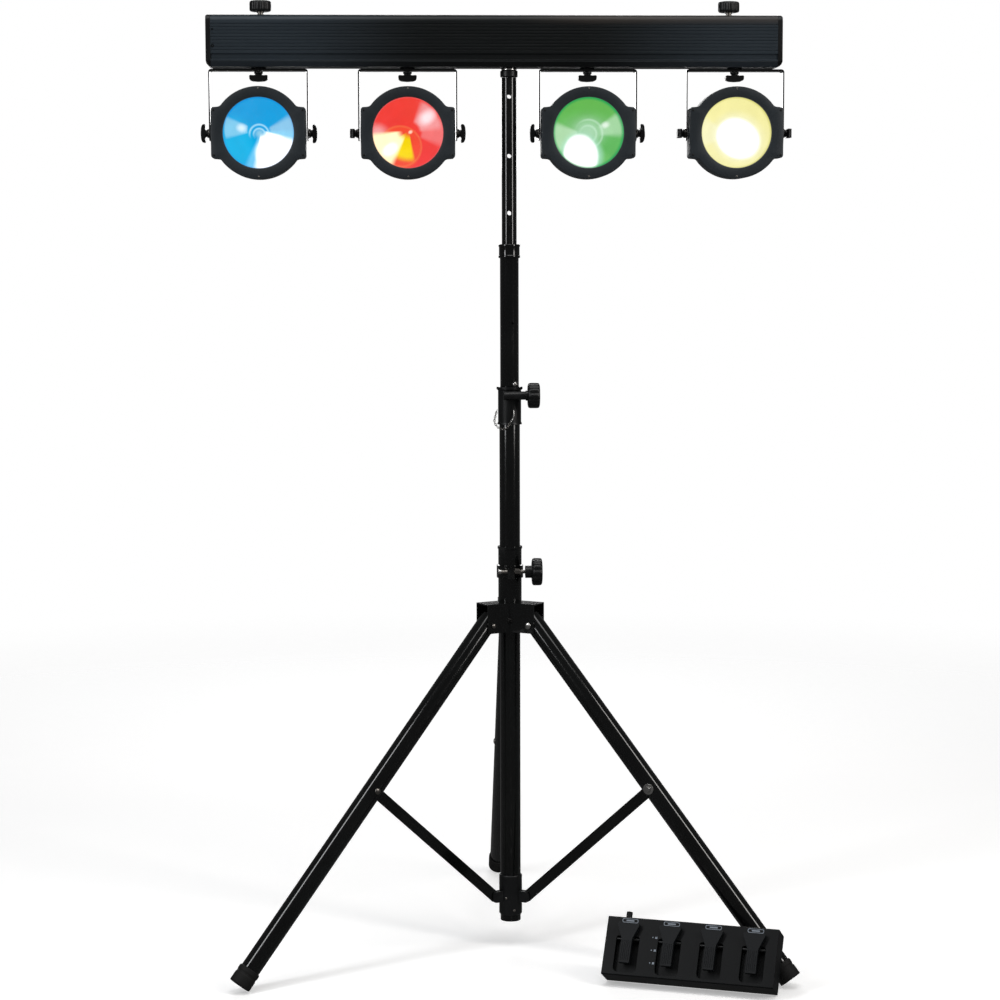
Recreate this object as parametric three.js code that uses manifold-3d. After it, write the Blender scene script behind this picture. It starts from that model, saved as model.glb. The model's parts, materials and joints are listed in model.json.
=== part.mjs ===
// Light bar with four tilting lamp heads on a folding tripod stand, and its foot controller.
// Millimetres, +Z up, the lamps face -Y. The stand's column is the line x = 0, y = 0
// while the pieces are built; the last step moves the whole object onto its origin.
import * as THREE from "three";
import { mergeVertices } from "three/addons/utils/BufferGeometryUtils.js";
import Module from "manifold-3d";

const wasm = await Module();
wasm.setup();

// ---- driving sizes -------------------------------------------------------------------
const gap = 0.3;              // clearance between pieces that touch
const roundSides = 20;        // sides of a tube

const barLength = 997;
const barHeight = 88.5;
const barDepth = 70;
const barBottom = 1561.1;     // height of the bar's underside above the floor
const barCentreX = -24.5;     // the bar sits off the column by this much
const barWall = 3;
const barEndThickness = 8;
const barEndPlug = 9;
const grooveCount = 9;
const grooveDepth = 0.8;
const grooveWidth = 1.6;
const topKnobCentreX = -23;   // midway between the two knobs on top of the bar
const topKnobOffset = 407;

const headCentreX = -19.8;    // midway between the outer lamps
const headOffsets = [-414.6, -156.7, 156.7, 414.6];
const ringRadius = 79.5;
const windowRadius = 61;
const housingFront = -36;     // front face, measured from the tilt axis
const housingBack = 12;
const pocketRadius = ringRadius - 4.5;
const lipThickness = 5;
const earHalfWidth = ringRadius + 2;
const earHalfHeight = 44;
const lensRadius = windowRadius + 9;
const lensThickness = 3;
const bowlDepth = 55;
const bowlMouthRadius = windowRadius - 0.5;
const bowlBaseRadius = 17;
const bowlWall = 1.5;
const sinkRadius = ringRadius - 11.5;
const sinkEndRadius = sinkRadius - 10;
const sinkBack = 58;
const sinkFins = 2;

const yokeHalfWidth = earHalfWidth + 4.5;
const yokeStrap = 2.5;
const yokeHalfDepth = 13;
const yokeTopThickness = 3.5;
const yokeUnderside = barBottom - 6.3;
const yokeRoom = 27.3;        // from the yoke's strap down to the lamp's ring
const tiltAxisHeight = yokeUnderside - yokeRoom - ringRadius;
const washerRadius = 13;

const screwRadius = 3;        // lamp knobs
const wingSpan = 33;
const wingWidth = 16;
const wingThickness = 8.5;     // of a tilt knob
const wingNeckRadius = 7.5;
const wingNeckLength = 6;
const panWingThickness = 11.5;
const panWingNeckLength = 6;

const topTubeRadius = 13;
const topTubeBottom = 1100;
const topTubeTop = barBottom - 17.1;
const holeDrops = [234.1, 135.1, 32.6];
const holeHeights = holeDrops.map((drop) => topTubeTop - drop);
const holeRadius = 4;
const plugRadius = topTubeRadius + 2.2;
const studRadius = 5;
const middleTubeRadius = topTubeRadius + 3.4;
const middleTubeBottom = 600;
const middleRingBottom = 1232;
const middleRingTop = 1256;
const middleRingRadius = middleTubeRadius + 2.5;
const lowerTubeRadius = middleTubeRadius + 1.7;
const lowerTubeBottom = 47.5;
const lowerTubeTop = 990;
const tubeWall = 1.3;

const midCollarBottom = 940;
const midCollarTop = 1006;
const midCollarRadius = lowerTubeRadius + 3.5;
const midKnobHeight = 991.7;
const bottomCollarBottom = 59;
const bottomCollarTop = 131;
const bottomCollarRadius = lowerTubeRadius + 2.4;

const hubBottom = 572.5;
const hubPlateTop = 624.5;
const hubSleeveTop = 723.5;
const hubRadius = lowerTubeRadius + 2.6;
const hubBandRadius = hubRadius + 2.8;
const hubKnobHeight = 681;
const clevisReach = 58;
const clevisPlate = 2.2;

const legAzimuths = { right: -31.8, left: 209.5, rear: 89.65 };
const legRadius = 17;
const legWall = 1.5;
const legLean = 40.55;        // from the column, degrees
const legPivotReach = 46.5;
const legPivotHeight = 586;
const legAxisOffset = 4;      // leg axis outside its hub pivot
const legTopLength = 14;      // tube beyond the hub pivot
const footRadius = legRadius + 2.7;
const footLength = 31.5;
const footFloor = 4;
const pinRadius = 3;

const braceWidth = 19;
const braceThickness = 5;
const braceOnLeg = 357;       // down the leg from the hub pivot
const braceSwingRoom = 3;     // from the bottom collar to a brace's round end
const bracePivotReach = bottomCollarRadius + braceWidth / 2 + braceSwingRoom;
const bracePivotHeight = 93;
const lugPlate = 3;

const caseWidth = 296.7;
const caseHeight = 101.3;     // along the tread face
const caseDepth = 46;
const caseLean = 60.2;        // tread face from the floor, degrees
const caseYaw = -20.6;
const caseX = 153.1;          // back lower left corner
const pedalCount = 4;
const pedalPitch = 72.6;
const pedalHeadWidth = 39;
const pedalStemWidth = 18.5;
const pedalTop = 12;          // distances down the tread face
const pedalNeck = 38;
const pedalEnd = 81;
const pedalThickness = 9;
const wellTop = 33;
const wellEnd = 95;
const wellWidth = 40;
const wellDepth = 9;

const rad = THREE.MathUtils.degToRad;
const object = new THREE.Group();
object.name = "light_bar_on_stand";

// ---- materials -----------------------------------------------------------------------
const finishes = {
  bar_black: [0x15181b, 0.38, 0.6],
  plastic_black: [0x101112, 0.55, 0.0],
  housing_black: [0x23272d, 0.5, 0.3],
  steel_black: [0x0b0c0c, 0.22, 0.4],
  rubber_black: [0x0d0d0d, 0.85, 0.0],
  lens_blue: [0x12a8ea, 0.1, 0.0],
  lens_red: [0xe8262d, 0.1, 0.0],
  lens_green: [0x38b54a, 0.1, 0.0],
  lens_yellow: [0xf4ee8a, 0.1, 0.0],
  reflector_metal: [0xd9dcdf, 0.12, 1.0],
  case_black: [0x121518, 0.5, 0.3],
};

// ---- making and placing solids ---------------------------------------------------------
function solidOf(geometry) {
  const bare = geometry.clone();
  for (const name of Object.keys(bare.attributes)) {
    if (name !== "position") bare.deleteAttribute(name);
  }
  const merged = mergeVertices(bare, 1e-4);
  const corners = merged.index.array;
  const kept = [];
  for (let i = 0; i < corners.length; i += 3) {
    const [a, b, c] = [corners[i], corners[i + 1], corners[i + 2]];
    if (a !== b && b !== c && c !== a) kept.push(a, b, c);
  }
  const vertProperties = new Float32Array(merged.attributes.position.array);
  const make = (list) => new wasm.Manifold(new wasm.Mesh({
    numProp: 3,
    vertProperties,
    triVerts: new Uint32Array(list),
  }));
  const solid = make(kept);
  return solid.volume() > 0 ? solid : make(kept.slice().reverse());
}

function geometryOf(solid) {
  const mesh = solid.getMesh();
  const indexed = new THREE.BufferGeometry();
  indexed.setAttribute("position", new THREE.BufferAttribute(mesh.vertProperties, 3));
  indexed.setIndex(new THREE.BufferAttribute(mesh.triVerts, 1));
  indexed.computeVertexNormals();
  return indexed;
}

function addPiece(name, solid, finish, matrix = new THREE.Matrix4()) {
  const [color, roughness, metalness] = finishes[finish];
  const material = new THREE.MeshStandardMaterial({ color, roughness, metalness });
  material.name = finish;
  const mesh = new THREE.Mesh(geometryOf(solid), material);
  mesh.name = name;
  mesh.applyMatrix4(matrix);
  object.add(mesh);
}

function join(solids) {
  return solids.reduce((whole, next) => whole.add(next));
}

function cut(solid, tools) {
  return tools.reduce((left, tool) => left.subtract(tool), solid);
}

function block(x0, x1, y0, y1, z0, z1) {
  const box = new THREE.BoxGeometry(x1 - x0, y1 - y0, z1 - z0);
  box.translate((x0 + x1) / 2, (y0 + y1) / 2, (z0 + z1) / 2);
  return solidOf(box);
}

// a turned solid about Z from a list of [radius, z]; a ring's list closes on itself
function turned(profile, sides = roundSides) {
  const lathe = new THREE.LatheGeometry(profile.map(([r, z]) => new THREE.Vector2(r, z)), sides);
  lathe.rotateX(Math.PI / 2);
  return solidOf(lathe);
}

function rod(radius, z0, z1, sides = 16) {
  return turned([[0, z0], [radius, z0], [radius, z1], [0, z1]], sides);
}

function pipe(outer, inner, z0, z1, sides = roundSides) {
  return turned([[inner, z0], [outer, z0], [outer, z1], [inner, z1], [inner, z0]], sides);
}

function along(axis, solid, origin = [0, 0, 0]) {
  const geometry = geometryOf(solid);
  if (axis === "x") geometry.rotateY(Math.PI / 2);
  if (axis === "-x") geometry.rotateY(-Math.PI / 2);
  if (axis === "y") geometry.rotateX(-Math.PI / 2);
  if (axis === "-y") geometry.rotateX(Math.PI / 2);
  if (axis === "-z") geometry.rotateX(Math.PI);
  geometry.translate(...origin);
  return solidOf(geometry);
}

// an outline in x and z, from y0 to y1
function plateAcross(shape, y0, y1) {
  const plate = new THREE.ExtrudeGeometry(shape, { depth: y1 - y0, bevelEnabled: false });
  plate.rotateX(Math.PI / 2);
  plate.translate(0, y1, 0);
  return solidOf(plate);
}

// an outline in y and z, from x0 to x1
function plateAlong(shape, x0, x1) {
  const plate = new THREE.ExtrudeGeometry(shape, { depth: x1 - x0, bevelEnabled: false });
  const turn = new THREE.Matrix4().makeBasis(
    new THREE.Vector3(0, 1, 0),
    new THREE.Vector3(0, 0, 1),
    new THREE.Vector3(1, 0, 0),
  );
  plate.applyMatrix4(turn);
  plate.translate(x0, 0, 0);
  return solidOf(plate);
}

function outline(points) {
  return new THREE.Shape(points.map(([a, b]) => new THREE.Vector2(a, b)));
}

// a rectangle with a radius on each corner: low left, low right, high right, high left
function roundedBox(a0, a1, b0, b1, radii, steps = 3) {
  const corners = [
    [a0, b0, 180, radii[0]],
    [a1, b0, 270, radii[1]],
    [a1, b1, 0, radii[2]],
    [a0, b1, 90, radii[3]],
  ];
  const points = [];
  for (const [a, b, start, r] of corners) {
    const ca = a === a0 ? a + r : a - r;
    const cb = b === b0 ? b + r : b - r;
    const count = r > 0 ? steps : 0;
    for (let i = 0; i <= count; i += 1) {
      const turn = rad(start + (90 * i) / steps);
      points.push([ca + r * Math.cos(turn), cb + r * Math.sin(turn)]);
    }
  }
  return outline(points);
}

// ---- the bar ---------------------------------------------------------------------------
const half = barDepth / 2;
const grooveTop = barHeight - 11;
const grooveEnd = 22;

function barOutline(grooved) {
  const points = [[-half + 9, 0], [half - 9, 0], [half, 9.5], [half, grooveTop]];
  for (let i = 1; i <= 3; i += 1) {
    const turn = rad(30 * i);
    points.push([half - 11 + 11 * Math.cos(turn), grooveTop + 11 * Math.sin(turn)]);
  }
  for (let i = 0; i <= 3; i += 1) {
    const turn = rad(90 + 30 * i);
    points.push([-half + 11 + 11 * Math.cos(turn), grooveTop + 11 * Math.sin(turn)]);
  }
  if (grooved) {
    const pitch = (grooveTop - grooveEnd) / (grooveCount + 1);
    for (let i = 1; i <= grooveCount; i += 1) {
      const z = grooveTop - pitch * i;
      points.push([-half, z + grooveWidth / 2]);
      points.push([-half + grooveDepth, z + grooveWidth / 4]);
      points.push([-half + grooveDepth, z - grooveWidth / 4]);
      points.push([-half, z - grooveWidth / 2]);
    }
    points.push([-half, grooveEnd], [-half + 2.5, grooveEnd - 1.5]);
    points.push([-half + 2.5, 12.5], [-half, 11.5]);
  }
  points.push([-half, 9.5]);
  return outline(points.map(([y, z]) => [y, z + barBottom]));
}

function barHollow(inset) {
  const w = half - 6 - inset;
  const low = barBottom + barWall + inset;
  const high = barBottom + barHeight - barWall - inset;
  return outline([
    [-w + 9, low], [w - 9, low], [w, low + 9], [w, high - 9],
    [w - 9, high], [-w + 9, high], [-w, high - 9], [-w, low + 9],
  ]);
}

const barLeft = barCentreX - barLength / 2;
const barRight = barCentreX + barLength / 2;
const barTop = barBottom + barHeight;
const headXs = headOffsets.map((offset) => headCentreX + offset);
const topKnobXs = [-topKnobOffset, topKnobOffset].map((offset) => topKnobCentreX + offset);
const lampScrewHole = screwRadius + gap;
const topKnobScrew = 4;

const extrusionLeft = barLeft + barEndThickness + gap;
const extrusionRight = barRight - barEndThickness - gap;
const barBody = cut(plateAlong(barOutline(true), extrusionLeft, extrusionRight), [
  plateAlong(barHollow(0), extrusionLeft - 1, extrusionRight + 1),
  ...headXs.map((x) => along("z", rod(lampScrewHole, barBottom - 1, barBottom + 8, 12), [x, 0, 0])),
  ...topKnobXs.map((x) => along("z", rod(topKnobScrew + gap, barTop - 8, barTop + 1, 12), [x, 0, 0])),
  rod(studRadius + gap, barBottom - 1, barBottom + 8),
]);
addPiece("bar_extrusion", barBody, "bar_black");

function barEnd(left) {
  const outer = left ? barLeft : barRight - barEndThickness;
  const inner = left ? barLeft + barEndThickness : barRight - barEndThickness;
  const radii = left ? [9, 0, 0, 4] : [0, 9, 4, 0];
  const front = left
    ? roundedBox(outer, outer + barEndThickness + 6, barBottom, barTop, radii)
    : roundedBox(outer - 6, outer + barEndThickness, barBottom, barTop, radii);
  const plug = left
    ? plateAlong(barHollow(gap), inner - 1, inner + barEndPlug)
    : plateAlong(barHollow(gap), inner - barEndPlug, inner + 1);
  const face = plateAlong(barOutline(false), outer, outer + barEndThickness);
  return face.intersect(plateAcross(front, -half - 1, half + 1)).add(plug);
}
addPiece("bar_end_left", barEnd(true), "plastic_black");
addPiece("bar_end_right", barEnd(false), "plastic_black");

// ---- knobs -------------------------------------------------------------------------------
// a grip knob about Z: its neck starts at z = 0 and the screw goes down from there
function gripKnob(radius, thickness, neckRadius, neckLength, screw, screwLength) {
  const lobes = 10;
  const points = [];
  for (let i = 0; i < lobes * 2; i += 1) {
    const r = i % 2 ? radius - 1.6 : radius;
    const turn = (Math.PI * i) / lobes;
    points.push([r * Math.cos(turn), r * Math.sin(turn)]);
  }
  const grip = new THREE.ExtrudeGeometry(outline(points), {
    depth: thickness,
    bevelEnabled: false,
  });
  grip.translate(0, 0, neckLength);
  const crown = turned([
    [0, neckLength - 1],
    [radius - 3, neckLength - 1],
    [radius + 1, neckLength + 3],
    [radius + 1, neckLength + thickness - 5],
    [radius * 0.75, neckLength + thickness],
    [0, neckLength + thickness],
  ], 16);
  return join([
    solidOf(grip).intersect(crown),
    rod(neckRadius, 0, neckLength + 1, 12),
    rod(screw, -screwLength, 1, 8),
  ]);
}

// a wing knob about Z, its wings along X
function wingKnob(neckLength, thickness, screwLength) {
  const z0 = neckLength;
  const z1 = neckLength + thickness;
  const s = wingSpan / 2;
  const w = wingWidth / 2;
  const wings = plateAcross(outline([
    [-s, z0 + 1.5], [-s + 2, z0], [s - 2, z0], [s, z0 + 1.5], [s - 1, z1 - 3],
    [s - 6, z1 - 0.8], [0, z1], [-s + 6, z1 - 0.8], [-s + 1, z1 - 3],
  ]), -w, w);
  const plan = new THREE.ExtrudeGeometry(
    roundedBox(-s, s, -w, w, [6, 6, 6, 6], 2),
    { depth: z1 + 2, bevelEnabled: false },
  );
  const neck = turned([[0, 0], [wingNeckRadius - 1, 0], [wingNeckRadius + 1, z0 + 1], [0, z0 + 1]], 12);
  return join([
    wings.intersect(solidOf(plan)),
    neck,
    rod(screwRadius, -screwLength, 1, 8),
  ]);
}

for (const [i, side] of ["left", "right"].entries()) {
  const knob = gripKnob(18.7, 18.5, 6, 7, topKnobScrew, 12);
  addPiece(`top_knob_${side}`, along("z", knob, [topKnobXs[i], 0, barTop + gap]), "plastic_black");
}

// ---- one lamp head, about its tilt axis -----------------------------------------------------
// turned solids about the lamp's own line of sight: [radius, depth], depth growing to the back
function lampTurned(profile, sides) {
  return along("y", turned(profile, sides));
}

const lipBack = housingFront + lipThickness;
const lensFront = lipBack + gap;
const bowlFront = lensFront + lensThickness + gap;
const bowlBack = bowlFront + bowlDepth;
const sinkFront = housingBack + gap;

function housing() {
  const shell = lampTurned([
    [0, housingFront], [ringRadius - 2, housingFront], [ringRadius, housingFront + 2],
    [ringRadius, housingBack], [0, housingBack],
  ], 28);
  const ears = plateAcross(
    roundedBox(-earHalfWidth, earHalfWidth, -earHalfHeight, earHalfHeight, [4, 4, 4, 4], 2),
    housingFront,
    housingBack,
  );
  const opening = lampTurned([
    [0, housingFront - 1], [windowRadius + 2, housingFront - 1], [windowRadius, housingFront + 2],
    [windowRadius, lipBack], [pocketRadius, lipBack], [pocketRadius, housingBack + 1],
    [0, housingBack + 1],
  ], 28);
  const screwHole = along("x", rod(lampScrewHole, -earHalfWidth - 1, earHalfWidth + 1, 8));
  return cut(shell.add(ears), [opening, screwHole]);
}

function lens() {
  return lampTurned([
    [0, lensFront], [windowRadius - 1, lensFront], [lensRadius, lensFront],
    [lensRadius, lensFront + lensThickness], [0, lensFront + lensThickness],
  ], 20);
}

function reflector() {
  const middle = bowlFront + bowlDepth * 0.45;
  const waist = bowlMouthRadius * 0.68;
  return lampTurned([
    [0, bowlBack - 2], [bowlBaseRadius, bowlBack - 2], [waist, middle],
    [bowlMouthRadius, bowlFront], [lensRadius, bowlFront], [lensRadius, bowlFront + bowlWall],
    [bowlMouthRadius + 1.2, bowlFront + bowlWall], [waist + bowlWall, middle + 0.8],
    [bowlBaseRadius + bowlWall, bowlBack], [0, bowlBack],
  ], 20);
}

function heatSink() {
  const profile = [[0, sinkFront], [ringRadius, sinkFront], [ringRadius, sinkFront + 5.5]];
  const finLength = (sinkBack - sinkFront - 5.5) / sinkFins;
  for (let i = 0; i < sinkFins; i += 1) {
    const start = sinkFront + 5.5 + i * finLength;
    const reach = sinkRadius - ((sinkRadius - sinkEndRadius) * i) / (sinkFins - 1);
    profile.push([reach - 8, start], [reach - 8, start + finLength * 0.45]);
    profile.push([reach, start + finLength * 0.45], [reach, start + finLength]);
  }
  profile.push([0, sinkBack]);
  const recess = lampTurned([
    [0, sinkFront - 1], [44, sinkFront - 1], [24, bowlBack + 2], [0, bowlBack + 2],
  ], 20);
  return lampTurned(profile, 20).subtract(recess);
}

function yoke() {
  const inside = yokeHalfWidth - yokeStrap;
  const under = yokeUnderside - tiltAxisHeight;
  const top = under + yokeTopThickness;
  const frame = plateAcross(roundedBox(-yokeHalfWidth, yokeHalfWidth, -yokeHalfDepth, top,
    [0, 0, 5, 5]), -yokeHalfDepth, yokeHalfDepth);
  const space = plateAcross(roundedBox(-inside, inside, -yokeHalfDepth - 1, under,
    [0, 0, 3, 3]), -yokeHalfDepth - 1, yokeHalfDepth + 1);
  const side = plateAlong(roundedBox(-yokeHalfDepth, yokeHalfDepth, -yokeHalfDepth, top + 20,
    [12, 12, 0, 0], 3), -yokeHalfWidth - 1, yokeHalfWidth + 1);
  const washer = rod(washerRadius, top - 1, barBottom - gap - tiltAxisHeight, 16);
  return cut(frame.intersect(side).subtract(space).add(washer), [
    along("x", rod(lampScrewHole, -yokeHalfWidth - 1, yokeHalfWidth + 1, 8)),
    rod(lampScrewHole, under - 1, barBottom - tiltAxisHeight, 8),
  ]);
}

// wing angles about each knob's own screw, as the lamps are set: [pan, left, right]
const wingAngles = [[0, 0, 10], [0, 90, 0], [0, 0, 50], [0, 90, 90]];
const lensFinishes = ["lens_blue", "lens_red", "lens_green", "lens_yellow"];
const lampPieces = {
  yoke: [yoke(), "steel_black"],
  housing: [housing(), "housing_black"],
  lens: [lens(), null],
  reflector: [reflector(), "reflector_metal"],
  heat_sink: [heatSink(), "housing_black"],
};
const panScrewLength = barBottom + barWall + 3 - yokeUnderside;
const panWing = wingKnob(panWingNeckLength, panWingThickness, panScrewLength);
const tiltWing = wingKnob(wingNeckLength, wingThickness, yokeStrap + gap + 7);

function turnedKnob(knob, degrees, axis, origin) {
  const geometry = geometryOf(knob);
  geometry.rotateZ(rad(degrees));
  return along(axis, solidOf(geometry), origin);
}

for (const [i, x] of headXs.entries()) {
  const lamp = `lamp${i + 1}`;
  const here = new THREE.Matrix4().makeTranslation(x, 0, tiltAxisHeight);
  for (const [name, [solid, finish]] of Object.entries(lampPieces)) {
    addPiece(`${lamp}_${name}`, solid, finish ?? lensFinishes[i], here);
  }
  const [panAngle, leftAngle, rightAngle] = wingAngles[i];
  const panSeat = yokeUnderside - gap - tiltAxisHeight;
  const side = yokeHalfWidth + gap;
  addPiece(`${lamp}_pan_knob`, turnedKnob(panWing, panAngle, "-z", [0, 0, panSeat]),
    "plastic_black", here);
  addPiece(`${lamp}_tilt_knob_left`, turnedKnob(tiltWing, leftAngle, "-x", [-side, 0, 0]),
    "plastic_black", here);
  addPiece(`${lamp}_tilt_knob_right`, turnedKnob(tiltWing, rightAngle, "x", [side, 0, 0]),
    "plastic_black", here);
}

// ---- the column ----------------------------------------------------------------------------
const lowerTube = join([
  pipe(lowerTubeRadius, lowerTubeRadius - tubeWall, lowerTubeBottom + 3, lowerTubeTop),
  turned([
    [0, lowerTubeBottom], [lowerTubeRadius - 3, lowerTubeBottom],
    [lowerTubeRadius, lowerTubeBottom + 3], [lowerTubeRadius, lowerTubeBottom + 6],
    [0, lowerTubeBottom + 6],
  ]),
]);
addPiece("tube_lower", lowerTube, "steel_black");

const ringBore = topTubeRadius + gap;
const middleTube = join([
  pipe(middleTubeRadius, middleTubeRadius - tubeWall - 0.4, middleTubeBottom, middleRingTop - 4),
  turned([
    [ringBore, middleRingTop - 14], [middleRingRadius - 0.6, middleRingTop - 14],
    [middleRingRadius - 0.6, middleRingBottom], [middleRingRadius, middleRingBottom + 1],
    [middleRingRadius, middleRingTop - 1.5], [middleRingRadius - 1.5, middleRingTop],
    [ringBore, middleRingTop], [ringBore, middleRingTop - 14],
  ].filter(([, z]) => z >= middleRingTop - 14)),
  pipe(middleRingRadius, middleTubeRadius - 0.5, middleRingBottom, middleRingTop - 13),
]);
addPiece("tube_middle", middleTube, "steel_black");

const topTubeHoles = holeHeights.map((z) => along("y", rod(holeRadius, -20, 20, 10), [0, 0, z]));
const topTubeBore = topTubeRadius - tubeWall;
addPiece("tube_top", cut(pipe(topTubeRadius, topTubeBore, topTubeBottom, topTubeTop), topTubeHoles),
  "steel_black");

const mastPlug = turned([
  [0, topTubeTop - 25], [topTubeBore - gap, topTubeTop - 25], [topTubeBore - gap, topTubeTop + gap],
  [plugRadius, topTubeTop + gap], [plugRadius, topTubeTop + 12],
  [plugRadius - 1.2, barBottom - gap], [studRadius, barBottom - gap],
  [studRadius, barBottom + barWall + 4], [0, barBottom + barWall + 4],
], 24);
addPiece("mast_plug", mastPlug, "plastic_black");

// ---- the clamp collar on top of the lower tube -------------------------------------------------
const clampLine = -(midCollarRadius + 3.5);
const midScrew = 4;
const clampBossEnd = 26.4;
const collarBore = lowerTubeRadius + gap;
const midCollar = cut(join([
  turned([
    [0, midCollarBottom], [midCollarRadius, midCollarBottom],
    [midCollarRadius, midCollarBottom + 2], [midCollarRadius - 1.2, midCollarBottom + 4],
    [midCollarRadius - 1.2, midCollarTop - 6], [midCollarRadius + 1.4, midCollarTop - 4],
    [midCollarRadius + 1.4, midCollarTop], [0, midCollarTop],
  ]),
  along("x", rod(7.5, -11, clampBossEnd, 16), [0, clampLine, midKnobHeight]),
  block(-11, 12, clampLine, -12, midKnobHeight - 7.5, midKnobHeight + 7.5),
]), [
  rod(collarBore, midCollarBottom - 1, lowerTubeTop + gap, roundSides),
  rod(middleTubeRadius + gap, midCollarBottom, midCollarTop + 1, roundSides),
  along("x", rod(midScrew + gap, 4, clampBossEnd + 1, 12), [0, clampLine, midKnobHeight]),
]);
addPiece("collar_mid", midCollar, "plastic_black");
addPiece("knob_mid", along("x", gripKnob(22.3, 21, 9, 4, midScrew, 20),
  [clampBossEnd + gap, clampLine, midKnobHeight]), "plastic_black");

// ---- the sliding hub -----------------------------------------------------------------------
const clevisHalf = legRadius + gap + clevisPlate;
const hubScrew = 3.2;
const hubKnobSeat = 25.3;
const hubLugHalf = 6;
const hubClampLine = -(hubBandRadius + 6);

function spun(solid, degrees) {
  const geometry = geometryOf(solid);
  geometry.rotateZ(rad(degrees));
  return solidOf(geometry);
}

const clevisArm = join([
  block(8, clevisReach, -clevisHalf, -clevisHalf + clevisPlate, hubBottom, hubPlateTop),
  block(8, clevisReach, clevisHalf - clevisPlate, clevisHalf, hubBottom, hubPlateTop),
  block(8, clevisReach, -clevisHalf, clevisHalf, hubPlateTop - clevisPlate, hubPlateTop),
  along("y", rod(pinRadius, -clevisHalf - 1.5, clevisHalf + 1.5, 12),
    [legPivotReach, 0, legPivotHeight]),
]);
const hub = cut(join([
  turned([
    [0, hubBottom + 2], [hubRadius, hubBottom + 2], [hubRadius, 667], [hubBandRadius, 668],
    [hubBandRadius, 690], [hubRadius, 691], [hubRadius, hubSleeveTop - 5],
    [hubRadius + 1.2, hubSleeveTop - 4], [hubRadius + 1.2, hubSleeveTop], [0, hubSleeveTop],
  ]),
  block(-hubLugHalf, hubLugHalf, hubClampLine - 5.5, -18, 669, 688),
  ...Object.values(legAzimuths).map((turn) => spun(clevisArm, turn)),
]), [
  rod(collarBore, hubBottom - 1, hubSleeveTop + 1, roundSides),
  along("x", rod(hubScrew + gap, -8, 8, 12), [0, hubClampLine, hubKnobHeight]),
]);
addPiece("hub", hub, "steel_black");

const hubKnob = join([
  gripKnob(24.3, 18, 11, 12, hubScrew, hubKnobSeat + 18),
  rod(5.5, hubLugHalf + 2 * gap - hubKnobSeat, -8, 6),
  rod(5, -hubKnobSeat - 22, -hubKnobSeat - 16, 12),
]);
addPiece("knob_hub", along("x", hubKnob, [hubKnobSeat, hubClampLine, hubKnobHeight]), "plastic_black");

// ---- legs, feet and braces --------------------------------------------------------------------
const lean = rad(legLean);
const outward = new THREE.Vector3(Math.cos(lean), 0, Math.sin(lean));
const downLeg = new THREE.Vector3(Math.sin(lean), 0, -Math.cos(lean));
const hubPivot = new THREE.Vector3(legPivotReach, 0, legPivotHeight);
const legOrigin = hubPivot.clone().addScaledVector(outward, legAxisOffset);
const legSpan = (legOrigin.z - footRadius * Math.sin(lean)) / Math.cos(lean);
const upperBracePivot = legOrigin.clone().addScaledVector(downLeg, braceOnLeg);
const lowerBracePivot = new THREE.Vector3(bracePivotReach, 0, bracePivotHeight);
const braceSpan = upperBracePivot.distanceTo(lowerBracePivot);
const braceRise = upperBracePivot.z - lowerBracePivot.z;
const braceSlope = Math.atan2(braceRise, upperBracePivot.x - lowerBracePivot.x);
const slotHalf = braceThickness / 2 + gap;
const slotAbove = 12;
const slotBelow = 76;

const legBottom = -legSpan + footFloor + gap;
const leg = join([
  cut(pipe(legRadius, legRadius - legWall, legBottom, legTopLength), [
    along("y", rod(pinRadius + gap, -30, 30, 12), [-legAxisOffset, 0, 0]),
    block(-legRadius - 1, -5, -slotHalf, slotHalf, -braceOnLeg - slotBelow, -braceOnLeg + slotAbove),
  ]),
  along("y", rod(pinRadius, -legRadius - 1.5, legRadius + 1.5, 12), [0, 0, -braceOnLeg]),
]);
const foot = turned([
  [0, -legSpan], [footRadius, -legSpan], [footRadius, -legSpan + footLength - 2],
  [footRadius - 0.8, -legSpan + footLength], [legRadius + gap, -legSpan + footLength],
  [legRadius + gap, -legSpan + footFloor], [0, -legSpan + footFloor],
]);
const bracePoints = [];
for (let i = 0; i <= 8; i += 1) {
  const turn = rad(-90 + 22.5 * i);
  const r = braceWidth / 2;
  bracePoints.push([braceSpan + r * Math.cos(turn), r * Math.sin(turn)]);
}
for (let i = 0; i <= 8; i += 1) {
  const turn = rad(90 + 22.5 * i);
  const r = braceWidth / 2;
  bracePoints.push([r * Math.cos(turn), r * Math.sin(turn)]);
}
const brace = cut(plateAcross(outline(bracePoints), -braceThickness / 2, braceThickness / 2), [
  along("y", rod(pinRadius + gap, -10, 10, 12)),
]);

for (const [side, azimuth] of Object.entries(legAzimuths)) {
  const spin = new THREE.Matrix4().makeRotationZ(rad(azimuth));
  const legPlace = spin.clone()
    .multiply(new THREE.Matrix4().makeTranslation(legOrigin.x, 0, legOrigin.z))
    .multiply(new THREE.Matrix4().makeRotationY(-lean));
  addPiece(`leg_${side}`, leg, "steel_black", legPlace);
  addPiece(`foot_${side}`, foot, "rubber_black", legPlace);
  const bracePlace = spin.clone()
    .multiply(new THREE.Matrix4().makeTranslation(upperBracePivot.x, 0, upperBracePivot.z))
    .multiply(new THREE.Matrix4().makeRotationY(Math.PI - braceSlope));
  addPiece(`brace_${side}`, brace, "steel_black", bracePlace);
}

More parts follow.
